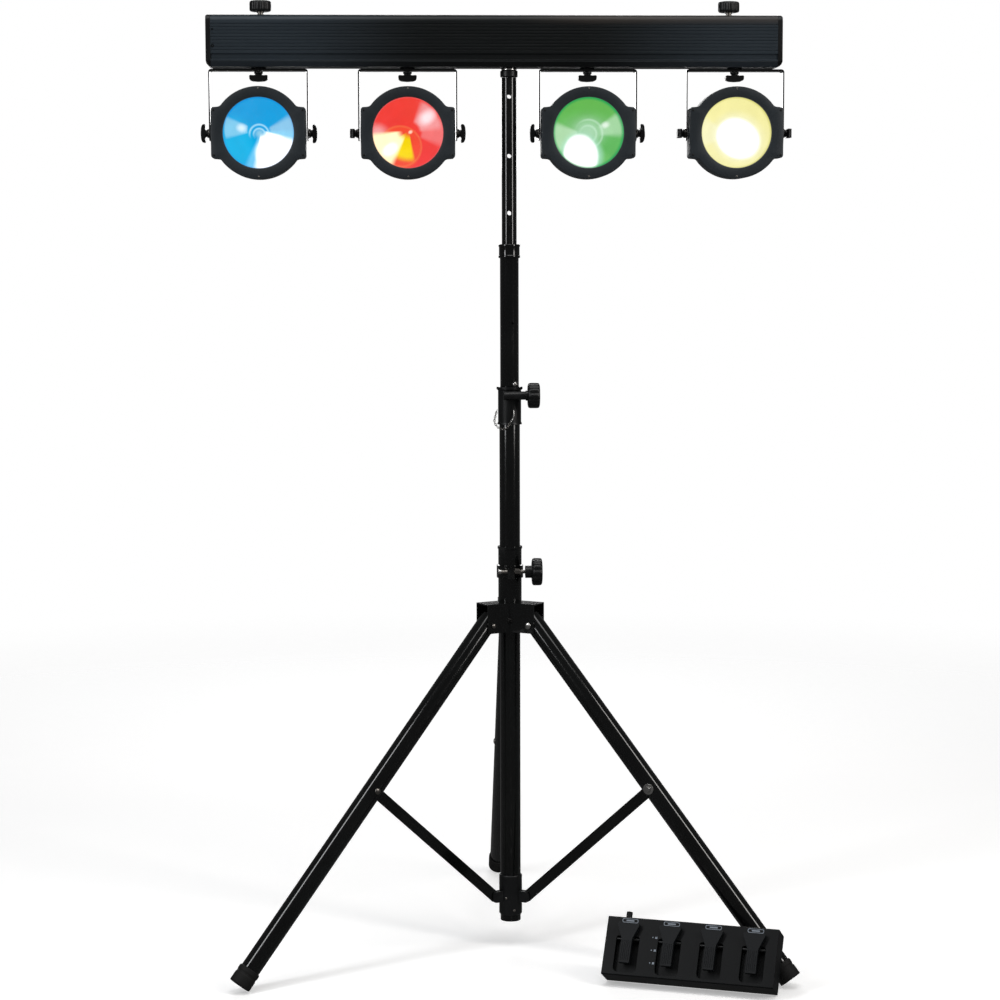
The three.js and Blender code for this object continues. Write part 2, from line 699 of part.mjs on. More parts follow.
const lugInner = braceThickness / 2 + gap + 0.1;
const lugOutline = roundedBox(bottomCollarRadius - 2, bracePivotReach + 7,
  bracePivotHeight - 10, bracePivotHeight + 10, [0, 7, 7, 0], 3);
const lugPair = join([
  plateAcross(lugOutline, lugInner, lugInner + lugPlate),
  plateAcross(lugOutline, -lugInner - lugPlate, -lugInner),
]);
const bottomCollar = cut(join([
  turned([
    [0, bottomCollarBottom], [bottomCollarRadius - 1, bottomCollarBottom],
    [bottomCollarRadius, bottomCollarBottom + 1.5], [bottomCollarRadius, bottomCollarTop - 1.5],
    [bottomCollarRadius - 1, bottomCollarTop], [0, bottomCollarTop],
  ]),
  ...Object.values(legAzimuths).map((turn) => spun(lugPair, turn)),
]), [rod(collarBore, bottomCollarBottom - 1, bottomCollarTop + 1, roundSides)]);
addPiece("collar_bottom", bottomCollar, "plastic_black");

// ---- the foot controller, built upright with its tread face to -Y ------------------------------
const pedalXs = [];
for (let i = 0; i < pedalCount; i += 1) {
  pedalXs.push(caseWidth / 2 + pedalPitch * (i - (pedalCount - 1) / 2));
}
const down = (distance) => caseHeight - distance;

const caseShell = join([
  plateAlong(outline([
    [-caseDepth + 1.5, 0], [-1, 0], [0, 1], [0, caseHeight - 1], [-1, caseHeight],
    [-caseDepth + 1.5, caseHeight], [-caseDepth, caseHeight - 1.5], [-caseDepth, 1.5],
  ]), 0, caseWidth),
  rod(5.3, caseHeight - 1, caseHeight + 14, 16).translate(31, -caseDepth * 0.55, 0),
]);
const wells = pedalXs.map((x) => plateAcross(
  roundedBox(x - wellWidth / 2, x + wellWidth / 2, down(wellEnd), down(wellTop), [7, 7, 4, 4]),
  -caseDepth - 1,
  -caseDepth + wellDepth,
));
const controllerCase = cut(caseShell, wells);

const pedalUnder = -caseDepth - 0.6;
const pedalPivotDepth = -caseDepth + 3;
const h = pedalHeadWidth / 2;
const s = pedalStemWidth / 2;
const pedal = join([
  plateAcross(outline([
    [-s, down(pedalEnd)], [s, down(pedalEnd)], [s, down(pedalNeck)],
    [h - 1, down(pedalTop + 3)], [h - 2, down(pedalTop)],
    [-h + 2, down(pedalTop)], [-h + 1, down(pedalTop + 3)], [-s, down(pedalNeck)],
  ]), pedalUnder - pedalThickness, pedalUnder),
  block(-s + 1, s - 1, pedalUnder - 1, pedalPivotDepth + 2, down(pedalNeck + 4), down(pedalNeck - 3)),
  along("x", rod(2.5, -wellWidth / 2 + 0.5, wellWidth / 2 - 0.5, 12),
    [0, pedalPivotDepth, down(pedalNeck)]),
]);

// the case leans back until its upper rear edge rests on the right leg
const caseTurn = new THREE.Matrix4().makeRotationZ(rad(caseYaw))
  .multiply(new THREE.Matrix4().makeRotationX(-rad(90 - caseLean)));
const edgeStart = new THREE.Vector3(0, 0, caseHeight).applyMatrix4(caseTurn);
edgeStart.x += caseX;
const edgeLine = new THREE.Vector3(1, 0, 0).applyMatrix4(caseTurn);
const rightSpin = new THREE.Matrix4().makeRotationZ(rad(legAzimuths.right));
const legStart = legOrigin.clone().applyMatrix4(rightSpin);
const legLine = downLeg.clone().transformDirection(rightSpin);
const between = edgeLine.clone().cross(legLine).normalize();
if (between.y < 0) between.negate();
const caseY = (legStart.clone().sub(edgeStart).dot(between) - legRadius - gap) / between.y;
const casePlace = new THREE.Matrix4().makeTranslation(caseX, caseY, 0).multiply(caseTurn);

addPiece("controller_case", controllerCase, "case_black", casePlace);
for (const [i, x] of pedalXs.entries()) {
  const pedalPlace = casePlace.clone().multiply(new THREE.Matrix4().makeTranslation(x, 0, 0));
  addPiece(`pedal_${i + 1}`, pedal, "plastic_black", pedalPlace);
}

// ---- origin: middle of the footprint, on the floor -----------------------------------------
object.updateMatrixWorld(true);
const box = new THREE.Box3().setFromObject(object, true);
const shift = new THREE.Vector3(
  -(box.min.x + box.max.x) / 2,
  -(box.min.y + box.max.y) / 2,
  -box.min.z,
);
for (const mesh of object.children) mesh.position.add(shift);

export default object;
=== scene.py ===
import json
import math

import bmesh
import bpy
from mathutils import Matrix, Vector

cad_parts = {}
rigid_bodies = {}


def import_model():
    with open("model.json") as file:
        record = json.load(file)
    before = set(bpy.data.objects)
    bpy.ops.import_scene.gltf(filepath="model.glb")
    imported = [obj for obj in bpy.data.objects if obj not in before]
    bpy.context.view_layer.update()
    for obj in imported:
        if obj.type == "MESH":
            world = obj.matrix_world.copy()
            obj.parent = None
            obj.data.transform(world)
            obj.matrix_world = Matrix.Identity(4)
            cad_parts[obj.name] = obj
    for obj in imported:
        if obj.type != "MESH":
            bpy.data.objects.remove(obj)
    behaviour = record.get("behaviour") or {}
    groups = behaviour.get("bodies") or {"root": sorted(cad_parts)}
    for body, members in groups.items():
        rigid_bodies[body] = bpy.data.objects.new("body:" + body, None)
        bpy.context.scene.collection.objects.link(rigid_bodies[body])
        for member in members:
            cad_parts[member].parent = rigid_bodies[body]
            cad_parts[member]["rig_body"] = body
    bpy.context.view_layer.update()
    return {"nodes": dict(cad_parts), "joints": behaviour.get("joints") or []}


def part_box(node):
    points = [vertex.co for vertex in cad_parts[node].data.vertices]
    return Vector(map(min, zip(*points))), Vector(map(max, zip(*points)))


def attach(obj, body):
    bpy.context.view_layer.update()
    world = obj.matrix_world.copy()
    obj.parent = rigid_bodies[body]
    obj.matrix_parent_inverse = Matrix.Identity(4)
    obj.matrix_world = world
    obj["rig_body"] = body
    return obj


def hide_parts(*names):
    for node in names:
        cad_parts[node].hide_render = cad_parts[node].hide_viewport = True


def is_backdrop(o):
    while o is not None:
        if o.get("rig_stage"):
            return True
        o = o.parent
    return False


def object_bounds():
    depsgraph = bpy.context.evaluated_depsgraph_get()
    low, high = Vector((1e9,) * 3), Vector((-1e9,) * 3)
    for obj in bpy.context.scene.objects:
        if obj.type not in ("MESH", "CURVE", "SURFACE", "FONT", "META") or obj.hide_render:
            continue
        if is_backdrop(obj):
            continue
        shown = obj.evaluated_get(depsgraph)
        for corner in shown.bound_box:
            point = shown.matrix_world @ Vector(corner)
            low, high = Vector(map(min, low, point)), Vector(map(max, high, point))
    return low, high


# A light bar with four lit lamp heads on a tripod stand, and its foot controller.
# Metres, +Z up, the lamps face -Y. MM turns a size in millimetres into metres.
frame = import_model()
nodes = frame["nodes"]
joints = {joint["name"]: joint for joint in frame["joints"]}
MM = 0.001
FRONT = Vector((0, -1, 0))


def body_of(node):
    return nodes[node]["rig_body"]


def middle(node):
    low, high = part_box(node)
    return (low + high) / 2


def pivot(joint):
    return Vector(joints[joint]["pos_m"])


# ---- materials ----
class Graph:
    """One material's node graph, and short calls that add nodes to it."""

    def __init__(self, name):
        self.material = bpy.data.materials.new(name)
        self.material.use_nodes = True
        self.tree = self.material.node_tree
        self.shader = self.tree.nodes["Principled BSDF"]

    def add(self, kind, inputs=(), **settings):
        node = self.tree.nodes.new(kind)
        for key, value in settings.items():
            setattr(node, key, value)
        for key, value in dict(inputs).items():
            self.put(node, key, value)
        return node

    def put(self, node, key, value):
        if isinstance(value, bpy.types.NodeSocket):
            self.tree.links.new(value, node.inputs[key])
        else:
            node.inputs[key].default_value = value

    def math(self, operation, a, b=0.0):
        return self.add("ShaderNodeMath", {0: a, 1: b}, operation=operation).outputs[0]

    def times(self, a, b):
        return self.math("MULTIPLY", a, b)

    def minus(self, a, b):
        return self.math("SUBTRACT", a, b)

    def ramp(self, value, low, high, start=0.0, end=1.0):
        node = self.add("ShaderNodeMapRange", {0: value, 1: low, 2: high, 3: start, 4: end})
        node.interpolation_type = "SMOOTHSTEP"
        return node.outputs[0]

    def mix(self, share, a, b):
        node = self.add("ShaderNodeMix", {0: share, 6: rgba(a), 7: rgba(b)}, data_type="RGBA")
        return node.outputs[2]

    def place(self, stretch=(1, 1, 1)):
        where = self.add("ShaderNodeTexCoord").outputs["Object"]
        return self.add("ShaderNodeMapping", {0: where, 3: stretch}).outputs[0]

    def noise(self, scale, detail=3.0, stretch=(1, 1, 1)):
        inputs = {"Vector": self.place(stretch), "Scale": scale, "Detail": detail}
        return self.add("ShaderNodeTexNoise", inputs).outputs[0]

    def bump(self, height, depth, strength=0.5):
        node = self.add("ShaderNodeBump", {"Height": height, "Distance": depth, "Strength": strength})
        self.put(self.shader, "Normal", node.outputs[0])


def rgba(colour):
    if isinstance(colour, bpy.types.NodeSocket):
        return colour
    return (*colour, 1.0)


def finish_of(name, dark, light, rough, grain, depth, metal=0.0, stretch=(1, 1, 1), wear=None,
              coat=0.0, spec=0.5):
    """A surface that drifts between two colours, with grain, uneven gloss and pale worn edges."""
    g = Graph(name)
    drift = g.noise(9.0, 4.0)
    colour = g.mix(g.ramp(drift, 0.35, 0.68), dark, light)
    fine = g.noise(grain, 2.0, stretch)
    if wear:
        edge = g.add("ShaderNodeNewGeometry").outputs["Pointiness"]
        patch = g.ramp(g.noise(60.0, 3.0), 0.45, 0.75)
        share = g.times(g.ramp(edge, 0.53, 0.62), g.times(patch, 0.35))
        colour = g.mix(share, colour, wear)
    g.put(g.shader, "Base Color", colour)
    smudge = g.times(g.noise(22.0, 3.0), 0.12)
    gloss = g.math("ADD", g.times(fine, 0.06), g.math("ADD", smudge, rough - 0.09))
    g.put(g.shader, "Roughness", gloss)
    g.shader.inputs["Metallic"].default_value = metal
    g.shader.inputs["Specular IOR Level"].default_value = spec
    g.shader.inputs["Coat Weight"].default_value = coat
    g.shader.inputs["Coat Roughness"].default_value = 0.08
    g.bump(fine, depth, 0.4)
    return g.material


def anodised_with_painted_sheen(name):
    """Satin anodising with lines drawn along the bar; painted into its colour are a cold sheen on both outer
    thirds, a brownish highlight along the top of the right half and a thin light stripe low on the front:
    painted reflection and painted highlights.
    """
    g = Graph(name)
    low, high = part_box("bar_extrusion")
    where = g.add("ShaderNodeSeparateXYZ", {0: g.place()})
    x, z = where.outputs[0], where.outputs[2]
    centre = (low.x + high.x) / 2
    away = g.math("ABSOLUTE", g.minus(x, centre + 0.02))
    # Painted reflection: towards both outer thirds the bar's colour turns lighter and bluer, a cold sheen
    # painted in, uneven by the cloud noise.
    sheen = g.ramp(away, 0.12, 0.42)
    lines = g.noise(900.0, 2.0, (0.01, 1, 1))
    cloud = g.noise(6.0, 3.0)
    share = g.times(sheen, g.ramp(cloud, 0.1, 0.7, 0.75, 1.0))
    colour = g.mix(share, (0.0045, 0.0058, 0.0062), (0.021, 0.029, 0.037))
    # Painted highlight: a brownish band along the top of the right half of the bar.
    right_share = g.ramp(x, centre, centre + 0.2)
    painted_top_highlight = g.times(g.ramp(z, high.z - 20 * MM, high.z - 8 * MM), right_share)
    colour = g.mix(g.times(painted_top_highlight, 0.6), colour, (0.040, 0.032, 0.026))
    # Painted highlight: a thin, uneven light stripe along the front, 9 mm above the bar's bottom.
    off_line = g.math("ABSOLUTE", g.minus(z, low.z + 9 * MM))
    uneven = g.ramp(cloud, 0.3, 0.6, 0.4, 1.0)
    painted_light_line = g.times(g.ramp(off_line, 0.3 * MM, 1.1 * MM, 0.6, 0), uneven)
    colour = g.mix(painted_light_line, colour, (0.060, 0.066, 0.070))
    g.put(g.shader, "Base Color", colour)
    g.put(g.shader, "Roughness", g.ramp(lines, 0.2, 0.8, 0.33, 0.47))
    g.shader.inputs["Metallic"].default_value = 0.25
    g.shader.inputs["Specular IOR Level"].default_value = 0.3
    g.bump(lines, 0.05 * MM, 0.3)
    return g.material


enamel = finish_of("gloss_black_enamel", (0.0016, 0.0018, 0.0018), (0.0030, 0.0034, 0.0034), 0.13,
                   700.0, 0.006 * MM, wear=(0.05, 0.05, 0.05), coat=0.25, spec=0.42)
moulded = finish_of("moulded_black_plastic", (0.0028, 0.0031, 0.0034), (0.0052, 0.0058, 0.0064), 0.38,
                    1400.0, 0.10 * MM, wear=(0.03, 0.03, 0.032), spec=0.34)
powder = finish_of("housing_powder_coat", (0.0115, 0.0155, 0.0190), (0.0155, 0.0205, 0.0250), 0.47,
                   1100.0, 0.16 * MM, wear=(0.06, 0.065, 0.07), spec=0.36)
sheet = finish_of("controller_paint", (0.0011, 0.0016, 0.0021), (0.0017, 0.0024, 0.0030), 0.50,
                  1500.0, 0.08 * MM, wear=(0.04, 0.04, 0.045), spec=0.22)
tread = finish_of("pedal_coating", (0.0022, 0.0031, 0.0042), (0.0034, 0.0046, 0.0060), 0.52,
                  900.0, 0.12 * MM, wear=(0.04, 0.045, 0.05), spec=0.25)
rubber = finish_of("foot_rubber", (0.0035, 0.0035, 0.0035), (0.0075, 0.0072, 0.0070), 0.74,
                   500.0, 0.25 * MM, wear=(0.03, 0.03, 0.03), spec=0.3)
chrome = finish_of("bright_zinc", (0.38, 0.37, 0.36), (0.66, 0.65, 0.63), 0.26,
                   600.0, 0.05 * MM, metal=1.0, wear=(0.8, 0.8, 0.8))
dull_steel = finish_of("dull_steel", (0.16, 0.15, 0.14), (0.34, 0.32, 0.29), 0.36,
                       800.0, 0.06 * MM, metal=1.0, stretch=(1, 1, 0.2))
print_grey = finish_of("printed_mark", (0.17, 0.20, 0.24), (0.28, 0.32, 0.37), 0.45,
                       900.0, 0.02 * MM)
shadow = finish_of("hole_shadow", (0.0006, 0.0006, 0.0006), (0.0012, 0.0012, 0.0012), 0.85,
                   400.0, 0.05 * MM, spec=0.1)
# The bar's material holds a painted sheen and painted highlights in its colour, besides the anodising.
anodise_and_painted_sheen = anodised_with_painted_sheen("anodised_bar_painted_sheen")


# ---- making pieces ----
def softened(points, radius, closed=True, steps=3):
    """The outline with each corner drawn as a small curve."""
    kept = []
    count = len(points)
    for i, point in enumerate(points):
        here = Vector(point)
        if not closed and i in (0, count - 1):
            kept.append(tuple(here))
            continue
        before = Vector(points[i - 1]) - here
        after = Vector(points[(i + 1) % count]) - here
        reach = min(radius, before.length * 0.45, after.length * 0.45)
        a = here + before.normalized() * reach
        b = here + after.normalized() * reach
        for k in range(steps + 1):
            t = k / steps
            kept.append(tuple(a * (1 - t) ** 2 + here * 2 * t * (1 - t) + b * t * t))
    return kept


def turned(profile, sides=64):
    """A solid of revolution about Z from (radius, z) points."""
    bm = bmesh.new()
    rings = []
    for r, z in profile:
        if r < 1e-7:
            rings.append([bm.verts.new((0, 0, z))])
            continue
        turns = [2 * math.pi * k / sides for k in range(sides)]
        rings.append([bm.verts.new((r * math.cos(t), r * math.sin(t), z)) for t in turns])
    closed = len(rings[0]) > 1
    pairs = list(zip(rings, rings[1:] + rings[:1])) if closed else list(zip(rings, rings[1:]))
    for low, high in pairs:
        bridge(bm, low, high)
    return bm


def bridge(bm, low, high):
    count = max(len(low), len(high))
    for k in range(count):
        after = (k + 1) % count
        if len(low) == 1:
            corners = [low[0], high[after], high[k]]
        elif len(high) == 1:
            corners = [low[k], low[after], high[0]]
        else:
            corners = [low[k], low[after], high[after], high[k]]
        bm.faces.new(corners)


def stacked(levels, closed=False):
    """A solid through a list of outlines with the same number of (x, y, z) points each."""
    bm = bmesh.new()
    rings = [[bm.verts.new(p) for p in level] for level in levels]
    for low, high in zip(rings, rings[1:] + (rings[:1] if closed else [])):
        bridge(bm, low, high)
    if not closed:
        bm.faces.new(list(reversed(rings[0])))
        bm.faces.new(rings[-1])
    return bm


def plate(points, y0, y1):
    """An outline in x and z, from y0 to y1."""
    return stacked([[(x, y1, z) for x, z in points], [(x, y0, z) for x, z in points]])


def piece(name, bm, material, body, place=None, stands_for=(), crisp=35):
    bmesh.ops.recalc_face_normals(bm, faces=bm.faces)
    mesh = bpy.data.meshes.new(name)
    bm.to_mesh(mesh)
    bm.free()
    made = bpy.data.objects.new(name, mesh)
    bpy.context.scene.collection.objects.link(made)
    made.matrix_world = place or Matrix.Identity(4)
    mesh.materials.append(material)
    shade(mesh, crisp)
    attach(made, body)
    if stands_for:
        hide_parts(*stands_for)
    return made


def shade(mesh, crisp):
    for face in mesh.polygons:
        face.use_smooth = True
    mesh.set_sharp_from_angle(angle=math.radians(crisp))


at = Matrix.Translation


def facing(direction, origin, side=(0, 0, 1)):
    """A place whose Z points along direction, and whose X is near side."""
    z = Vector(direction).normalized()
    x = Vector(side) - z * z.dot(Vector(side))
    if x.length < 1e-6:
        x = z.orthogonal()
    x.normalize()
    turn = Matrix((x, z.cross(x), z)).transposed()
    return at(origin) @ turn.to_4x4()


def baked(made):
    """Applies a piece's modifiers to its mesh."""
    graph = bpy.context.evaluated_depsgraph_get()
    mesh = bpy.data.meshes.new_from_object(made.evaluated_get(graph))
    made.modifiers.clear()
    made.data = mesh


def carve(made, bms, operation="DIFFERENCE", crisp=35):
    """Cuts or joins solids, given in the piece's own space, and keeps the result."""
    tools = []
    for bm in bms:
        bmesh.ops.recalc_face_normals(bm, faces=bm.faces)
        mesh = bpy.data.meshes.new("tool")
        bm.to_mesh(mesh)
        bm.free()
        tool = bpy.data.objects.new("tool", mesh)
        bpy.context.scene.collection.objects.link(tool)
        tool.matrix_world = made.matrix_world
        tools.append(tool)
        cut = made.modifiers.new("cut", "BOOLEAN")
        cut.operation = operation
        cut.solver = "EXACT"
        cut.object = tool
    bpy.context.view_layer.update()
    baked(made)
    for tool in tools:
        bpy.data.objects.remove(tool)
    shade(made.data, crisp)


def rounded(made, width, segments=3, angle=35):
    edge = made.modifiers.new("edge", "BEVEL")
    edge.width = width
    edge.segments = segments
    edge.limit_method = "ANGLE"
    edge.angle_limit = math.radians(angle)
    edge.harden_normals = True


def moved(bm, matrix):
    bmesh.ops.transform(bm, matrix=matrix, verts=bm.verts)
    return bm


def rod(radius, z0, z1, edge=0.4 * MM, sides=48):
    profile = softened([(radius, z0), (radius, z1)], 0) if edge <= 0 else [
        (radius - edge, z0), (radius - 0.3 * edge, z0 + 0.3 * edge), (radius, z0 + edge),
        (radius, z1 - edge), (radius - 0.3 * edge, z1 - 0.3 * edge), (radius - edge, z1),
    ]
    return turned([(0, z0), *profile, (0, z1)], sides)


def dress(node, material, edge=0.5 * MM, angle=32):
    """A CAD node that stays: its finish, welded corners and a small radius on its edges."""
    made = nodes[node]
    made.data.materials.clear()
    made.data.materials.append(material)
    for face in made.data.polygons:
        face.use_smooth = True
    weld = made.modifiers.new("weld", "WELD")
    weld.merge_threshold = 0.01 * MM
    if edge:
        soft = made.modifiers.new("edge", "BEVEL")
        soft.width = edge
        soft.segments = 2
        soft.limit_method = "ANGLE"
        soft.angle_limit = math.radians(angle)
    level = made.modifiers.new("level", "WEIGHTED_NORMAL")
    level.mode = "FACE_AREA"
    level.weight = 100
    level.keep_sharp = False


# ---- fastenings ----
def dome_head(name, radius, height, material, body, place, slot_cut=False):
    """A screw or rivet head on the XY plane of its place."""
    steps = 7
    profile = [(0, -0.4 * MM), (radius, -0.4 * MM)]
    for k in range(steps + 1):
        t = math.pi / 2 * k / steps
        profile.append((radius * math.cos(t) if k < steps else 0, height * math.sin(t)))
    made = piece(name, turned(profile, 32), material, body, place)
    if slot_cut:
        groove = plate([(-radius * 0.16, height * 0.45), (radius * 0.16, height * 0.45),
                        (radius * 0.16, height * 2), (-radius * 0.16, height * 2)],
                       -radius * 1.2, radius * 1.2)
        carve(made, [moved(groove, Matrix.Rotation(math.radians(35), 4, "Z"))])
    return made


def washer(name, radius, thickness, material, body, place):
    profile = softened([(radius * 0.45, 0), (radius, 0), (radius, thickness),
                        (radius * 0.45, thickness)], 0.3 * MM)
    return piece(name, turned(profile, 48), material, body, place)


def hex_nut(name, across, thickness, material, body, place):
    r = across / math.sqrt(3)
    corners = [(r * math.cos(math.radians(60 * k)), r * math.sin(math.radians(60 * k)))
               for k in range(6)]
    levels = [(0.88, 0), (1, 0.12), (1, 0.88), (0.88, 1)]
    rings = [[(x * s, y * s, thickness * t) for x, y in corners] for s, t in levels]
    return piece(name, stacked(rings), material, body, place, crisp=20)


# ---- the bar ----
dress("bar_extrusion", anodise_and_painted_sheen, 0.15 * MM)
dress("bar_end_left", moulded, 0.5 * MM)
dress("bar_end_right", moulded, 0.5 * MM)
bar_low, bar_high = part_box("bar_end_left")
# Dark discs in the hole shadow finish on the front of the left end cap: painted shade where its two pin holes
# are.
for name, height, radius in (("bar_pin_upper", 62.5 * MM, 1.7 * MM), ("bar_pin_lower", 34.5 * MM, 2.7 * MM)):
    spot = Vector((bar_low.x + 12 * MM, bar_low.y - 0.02 * MM, bar_low.z + height))
    washer(name, radius, 0.35 * MM, shadow, "bar", facing(FRONT, spot))


def lobed_grip(radius, thickness, lobes, depth, rise, sides=120):
    """A hand knob about Z: its lobes fade out over the rounded top and bottom."""
    shape = [(0.30, 0.0, 0.0), (0.80, 0.0, 0.25), (0.92, 0.035, 0.7), (0.985, 0.12, 1.0), (1.0, 0.25, 1.0),
             (1.0, 0.72, 1.0), (0.985, 0.86, 1.0), (0.93, 0.95, 0.7), (0.82, 0.99, 0.3), (0.55, 1.0, 0.0)]
    levels = []
    for share, height, strength in shape:
        ring = []
        for k in range(sides):
            turn = 2 * math.pi * k / sides
            dip = depth * strength * (0.5 - 0.5 * math.cos(lobes * turn)) ** 1.6
            r = radius * share - dip
            ring.append((r * math.cos(turn), r * math.sin(turn), rise + thickness * height))
        levels.append(ring)
    return stacked(levels)


for side in ("left", "right"):
    node = f"top_knob_{side}"
    low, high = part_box(node)
    base = Vector((middle(node).x, middle(node).y, bar_high.z))
    radius = (high.x - low.x) / 2
    rise = 7 * MM
    piece(f"{node}_grip", lobed_grip(radius, high.z - base.z - rise, 18, 0.9 * MM, rise), moulded,
          body_of(node), at(base), [node])
    neck = turned([(0, 0.3 * MM), (6 * MM, 0.3 * MM), (6 * MM, 2.4 * MM), (4.6 * MM, 2.8 * MM),
                   (4.6 * MM, 4.6 * MM), (6 * MM, 5 * MM), (6 * MM, 7.4 * MM), (0, 7.4 * MM)])
    piece(f"{node}_neck", neck, dull_steel, body_of(node), at(base))


# ---- wing knobs ----
def long_way(node, outward, seat):
    """The direction across outward in which a CAD node's points lie furthest from its axis."""
    a = outward.orthogonal().normalized()
    b = outward.cross(a)
    sine = cosine = 0.0
    for vertex in nodes[node].data.vertices:
        off = nodes[node].matrix_world @ vertex.co - seat
        u, v = off.dot(a), off.dot(b)
        sine += 2 * u * v
        cosine += u * u - v * v
    turn = 0.5 * math.atan2(sine, cosine)
    return a * math.cos(turn) + b * math.sin(turn)


def wing_knob(node, outward, seat, thickness):
    """A wing knob whose neck stands on seat and whose wings lie the long way of its CAD node."""
    wing_line = long_way(node, outward, seat)
    low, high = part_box(node)
    reach = max((high - seat).dot(outward), (low - seat).dot(outward))
    under = reach - thickness
    half = [(0, reach), (10.5 * MM, reach - 0.8 * MM), (15.4 * MM, reach - 3 * MM),
            (16.2 * MM, under + 1.6 * MM), (14.4 * MM, under + 0.2 * MM), (7.4 * MM, under + 0.8 * MM),
            (5.5 * MM, under - 0.3 * MM)]
    ring = half + [(-x, z) for x, z in reversed(half[1:])]
    wings = plate(softened(ring, 1.6 * MM, steps=2), -7.6 * MM, 7.6 * MM)
    made = piece(f"{node}_wing", wings, moulded, body_of(node), facing(outward, seat, wing_line),
                 [node], crisp=50)
    neck = turned(softened([(0, 0.3 * MM), (7.6 * MM, 0.3 * MM), (7.6 * MM, reach * 0.2),
                            (5.9 * MM, reach * 0.28), (6.6 * MM, reach * 0.62), (0, reach * 0.7)],
                           0.6 * MM, closed=False), 32)
    carve(made, [neck], "UNION")
    rounded(made, 1.3 * MM, 3, 40)


# ---- the lamp heads ----
def polar_outline(ring_radius, ear_half_width, ear_half_height, shrink, sides=192):
    """The housing seen from the front: a disc joined to a rounded block for the ears."""
    points = []
    corner = 5 * MM
    for k in range(sides):
        turn = 2 * math.pi * (k + 0.5) / sides
        c, s = abs(math.cos(turn)), abs(math.sin(turn))
        w, h = ear_half_width - shrink, ear_half_height - shrink
        block = min(w / max(c, 1e-6), h / max(s, 1e-6))
        if block * c > w - corner and block * s > h - corner:
            cx, cz = w - corner, h - corner
            along = cx * c + cz * s
            across = cx * cx + cz * cz - along * along
            block = along + math.sqrt(max(0.0, corner * corner - across))
        disc = ring_radius - shrink
        blend = 3 * MM
        reach = max(disc, block) + blend * max(0.0, 1 - abs(disc - block) / (2 * blend)) ** 2 * 0.5
        points.append((reach * math.cos(turn), reach * math.sin(turn)))
    return points


def housing(node, body, centre, window):
    """The lamp's shell; gives how far its front face lies from the lamp's centre."""
    low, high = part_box(node)
    front, back = low.y - centre.y, high.y - centre.y
    half_width = (high.x - low.x) / 2
    ring = (high.z - low.z) / 2
    ear_height = 44 * MM
    lip = 5 * MM
    pocket = 75 * MM

    def outline(shrink, depth):
        return [(x, depth, z) for x, z in polar_outline(ring, half_width, ear_height, shrink)]

    def circle(radius, depth):
        turns = [2 * math.pi * (k + 0.5) / 192 for k in range(192)]
        return [(radius * math.cos(t), depth, radius * math.sin(t)) for t in turns]

    levels = [
        circle(window + 2.2 * MM, front), outline(1.6 * MM, front), outline(0.5 * MM, front + 0.45 * MM),
        outline(0, front + 1.6 * MM), outline(0, back - 1 * MM), outline(0.7 * MM, back),
        circle(pocket, back), circle(pocket, front + lip), circle(window, front + lip),
        circle(window, front + 2 * MM), circle(window + 0.6 * MM, front + 0.7 * MM),
    ]
    piece(f"{node}_shell", stacked(levels, closed=True), powder, body, at(centre),
          [node], crisp=30)
    return front


def heat_sink(node, body, centre):
    """Round fins and a cover at the back, with four screws in the cover."""
    low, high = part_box(node)
    front, back = low.y - centre.y, high.y - centre.y
    outer = (high.z - low.z) / 2
    plate_back = front + 5.5 * MM
    fins = 6
    pitch = (back - plate_back - 3 * MM) / fins
    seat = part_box(node.replace("heat_sink", "reflector"))[1].y - centre.y + 0.8 * MM
    profile = [(0, seat), (22 * MM, seat), (66 * MM, front), (outer - 1 * MM, front), (outer, front + 1 * MM),
               (outer, plate_back - 1 * MM), (outer - 1 * MM, plate_back)]
    for k in range(fins):
        start = plate_back + pitch * k
        reach = (68 - 10 * k / (fins - 1)) * MM
        profile += [(reach - 9 * MM, start), (reach - 9 * MM, start + pitch * 0.5),
                    (reach - 0.4 * MM, start + pitch * 0.5), (reach, start + pitch * 0.6),
                    (reach, start + pitch * 0.9), (reach - 0.4 * MM, start + pitch)]
    profile += [(56 * MM, back - 3 * MM), (54 * MM, back - 1 * MM), (40 * MM, back), (0, back)]
    turn = Matrix.Rotation(-math.pi / 2, 4, "X")
    piece(f"{node}_fins", moved(turned(profile, 96), turn), powder, body, at(centre),
          [node])
    for k in range(4):
        angle = math.radians(45 + 90 * k)
        spot = centre + Vector((46 * MM * math.cos(angle), back - 0.6 * MM, 46 * MM * math.sin(angle)))
        dome_head(f"{node}_screw_{k + 1}", 2.6 * MM, 1.0 * MM, dull_steel, body, facing((0, 1, 0), spot))


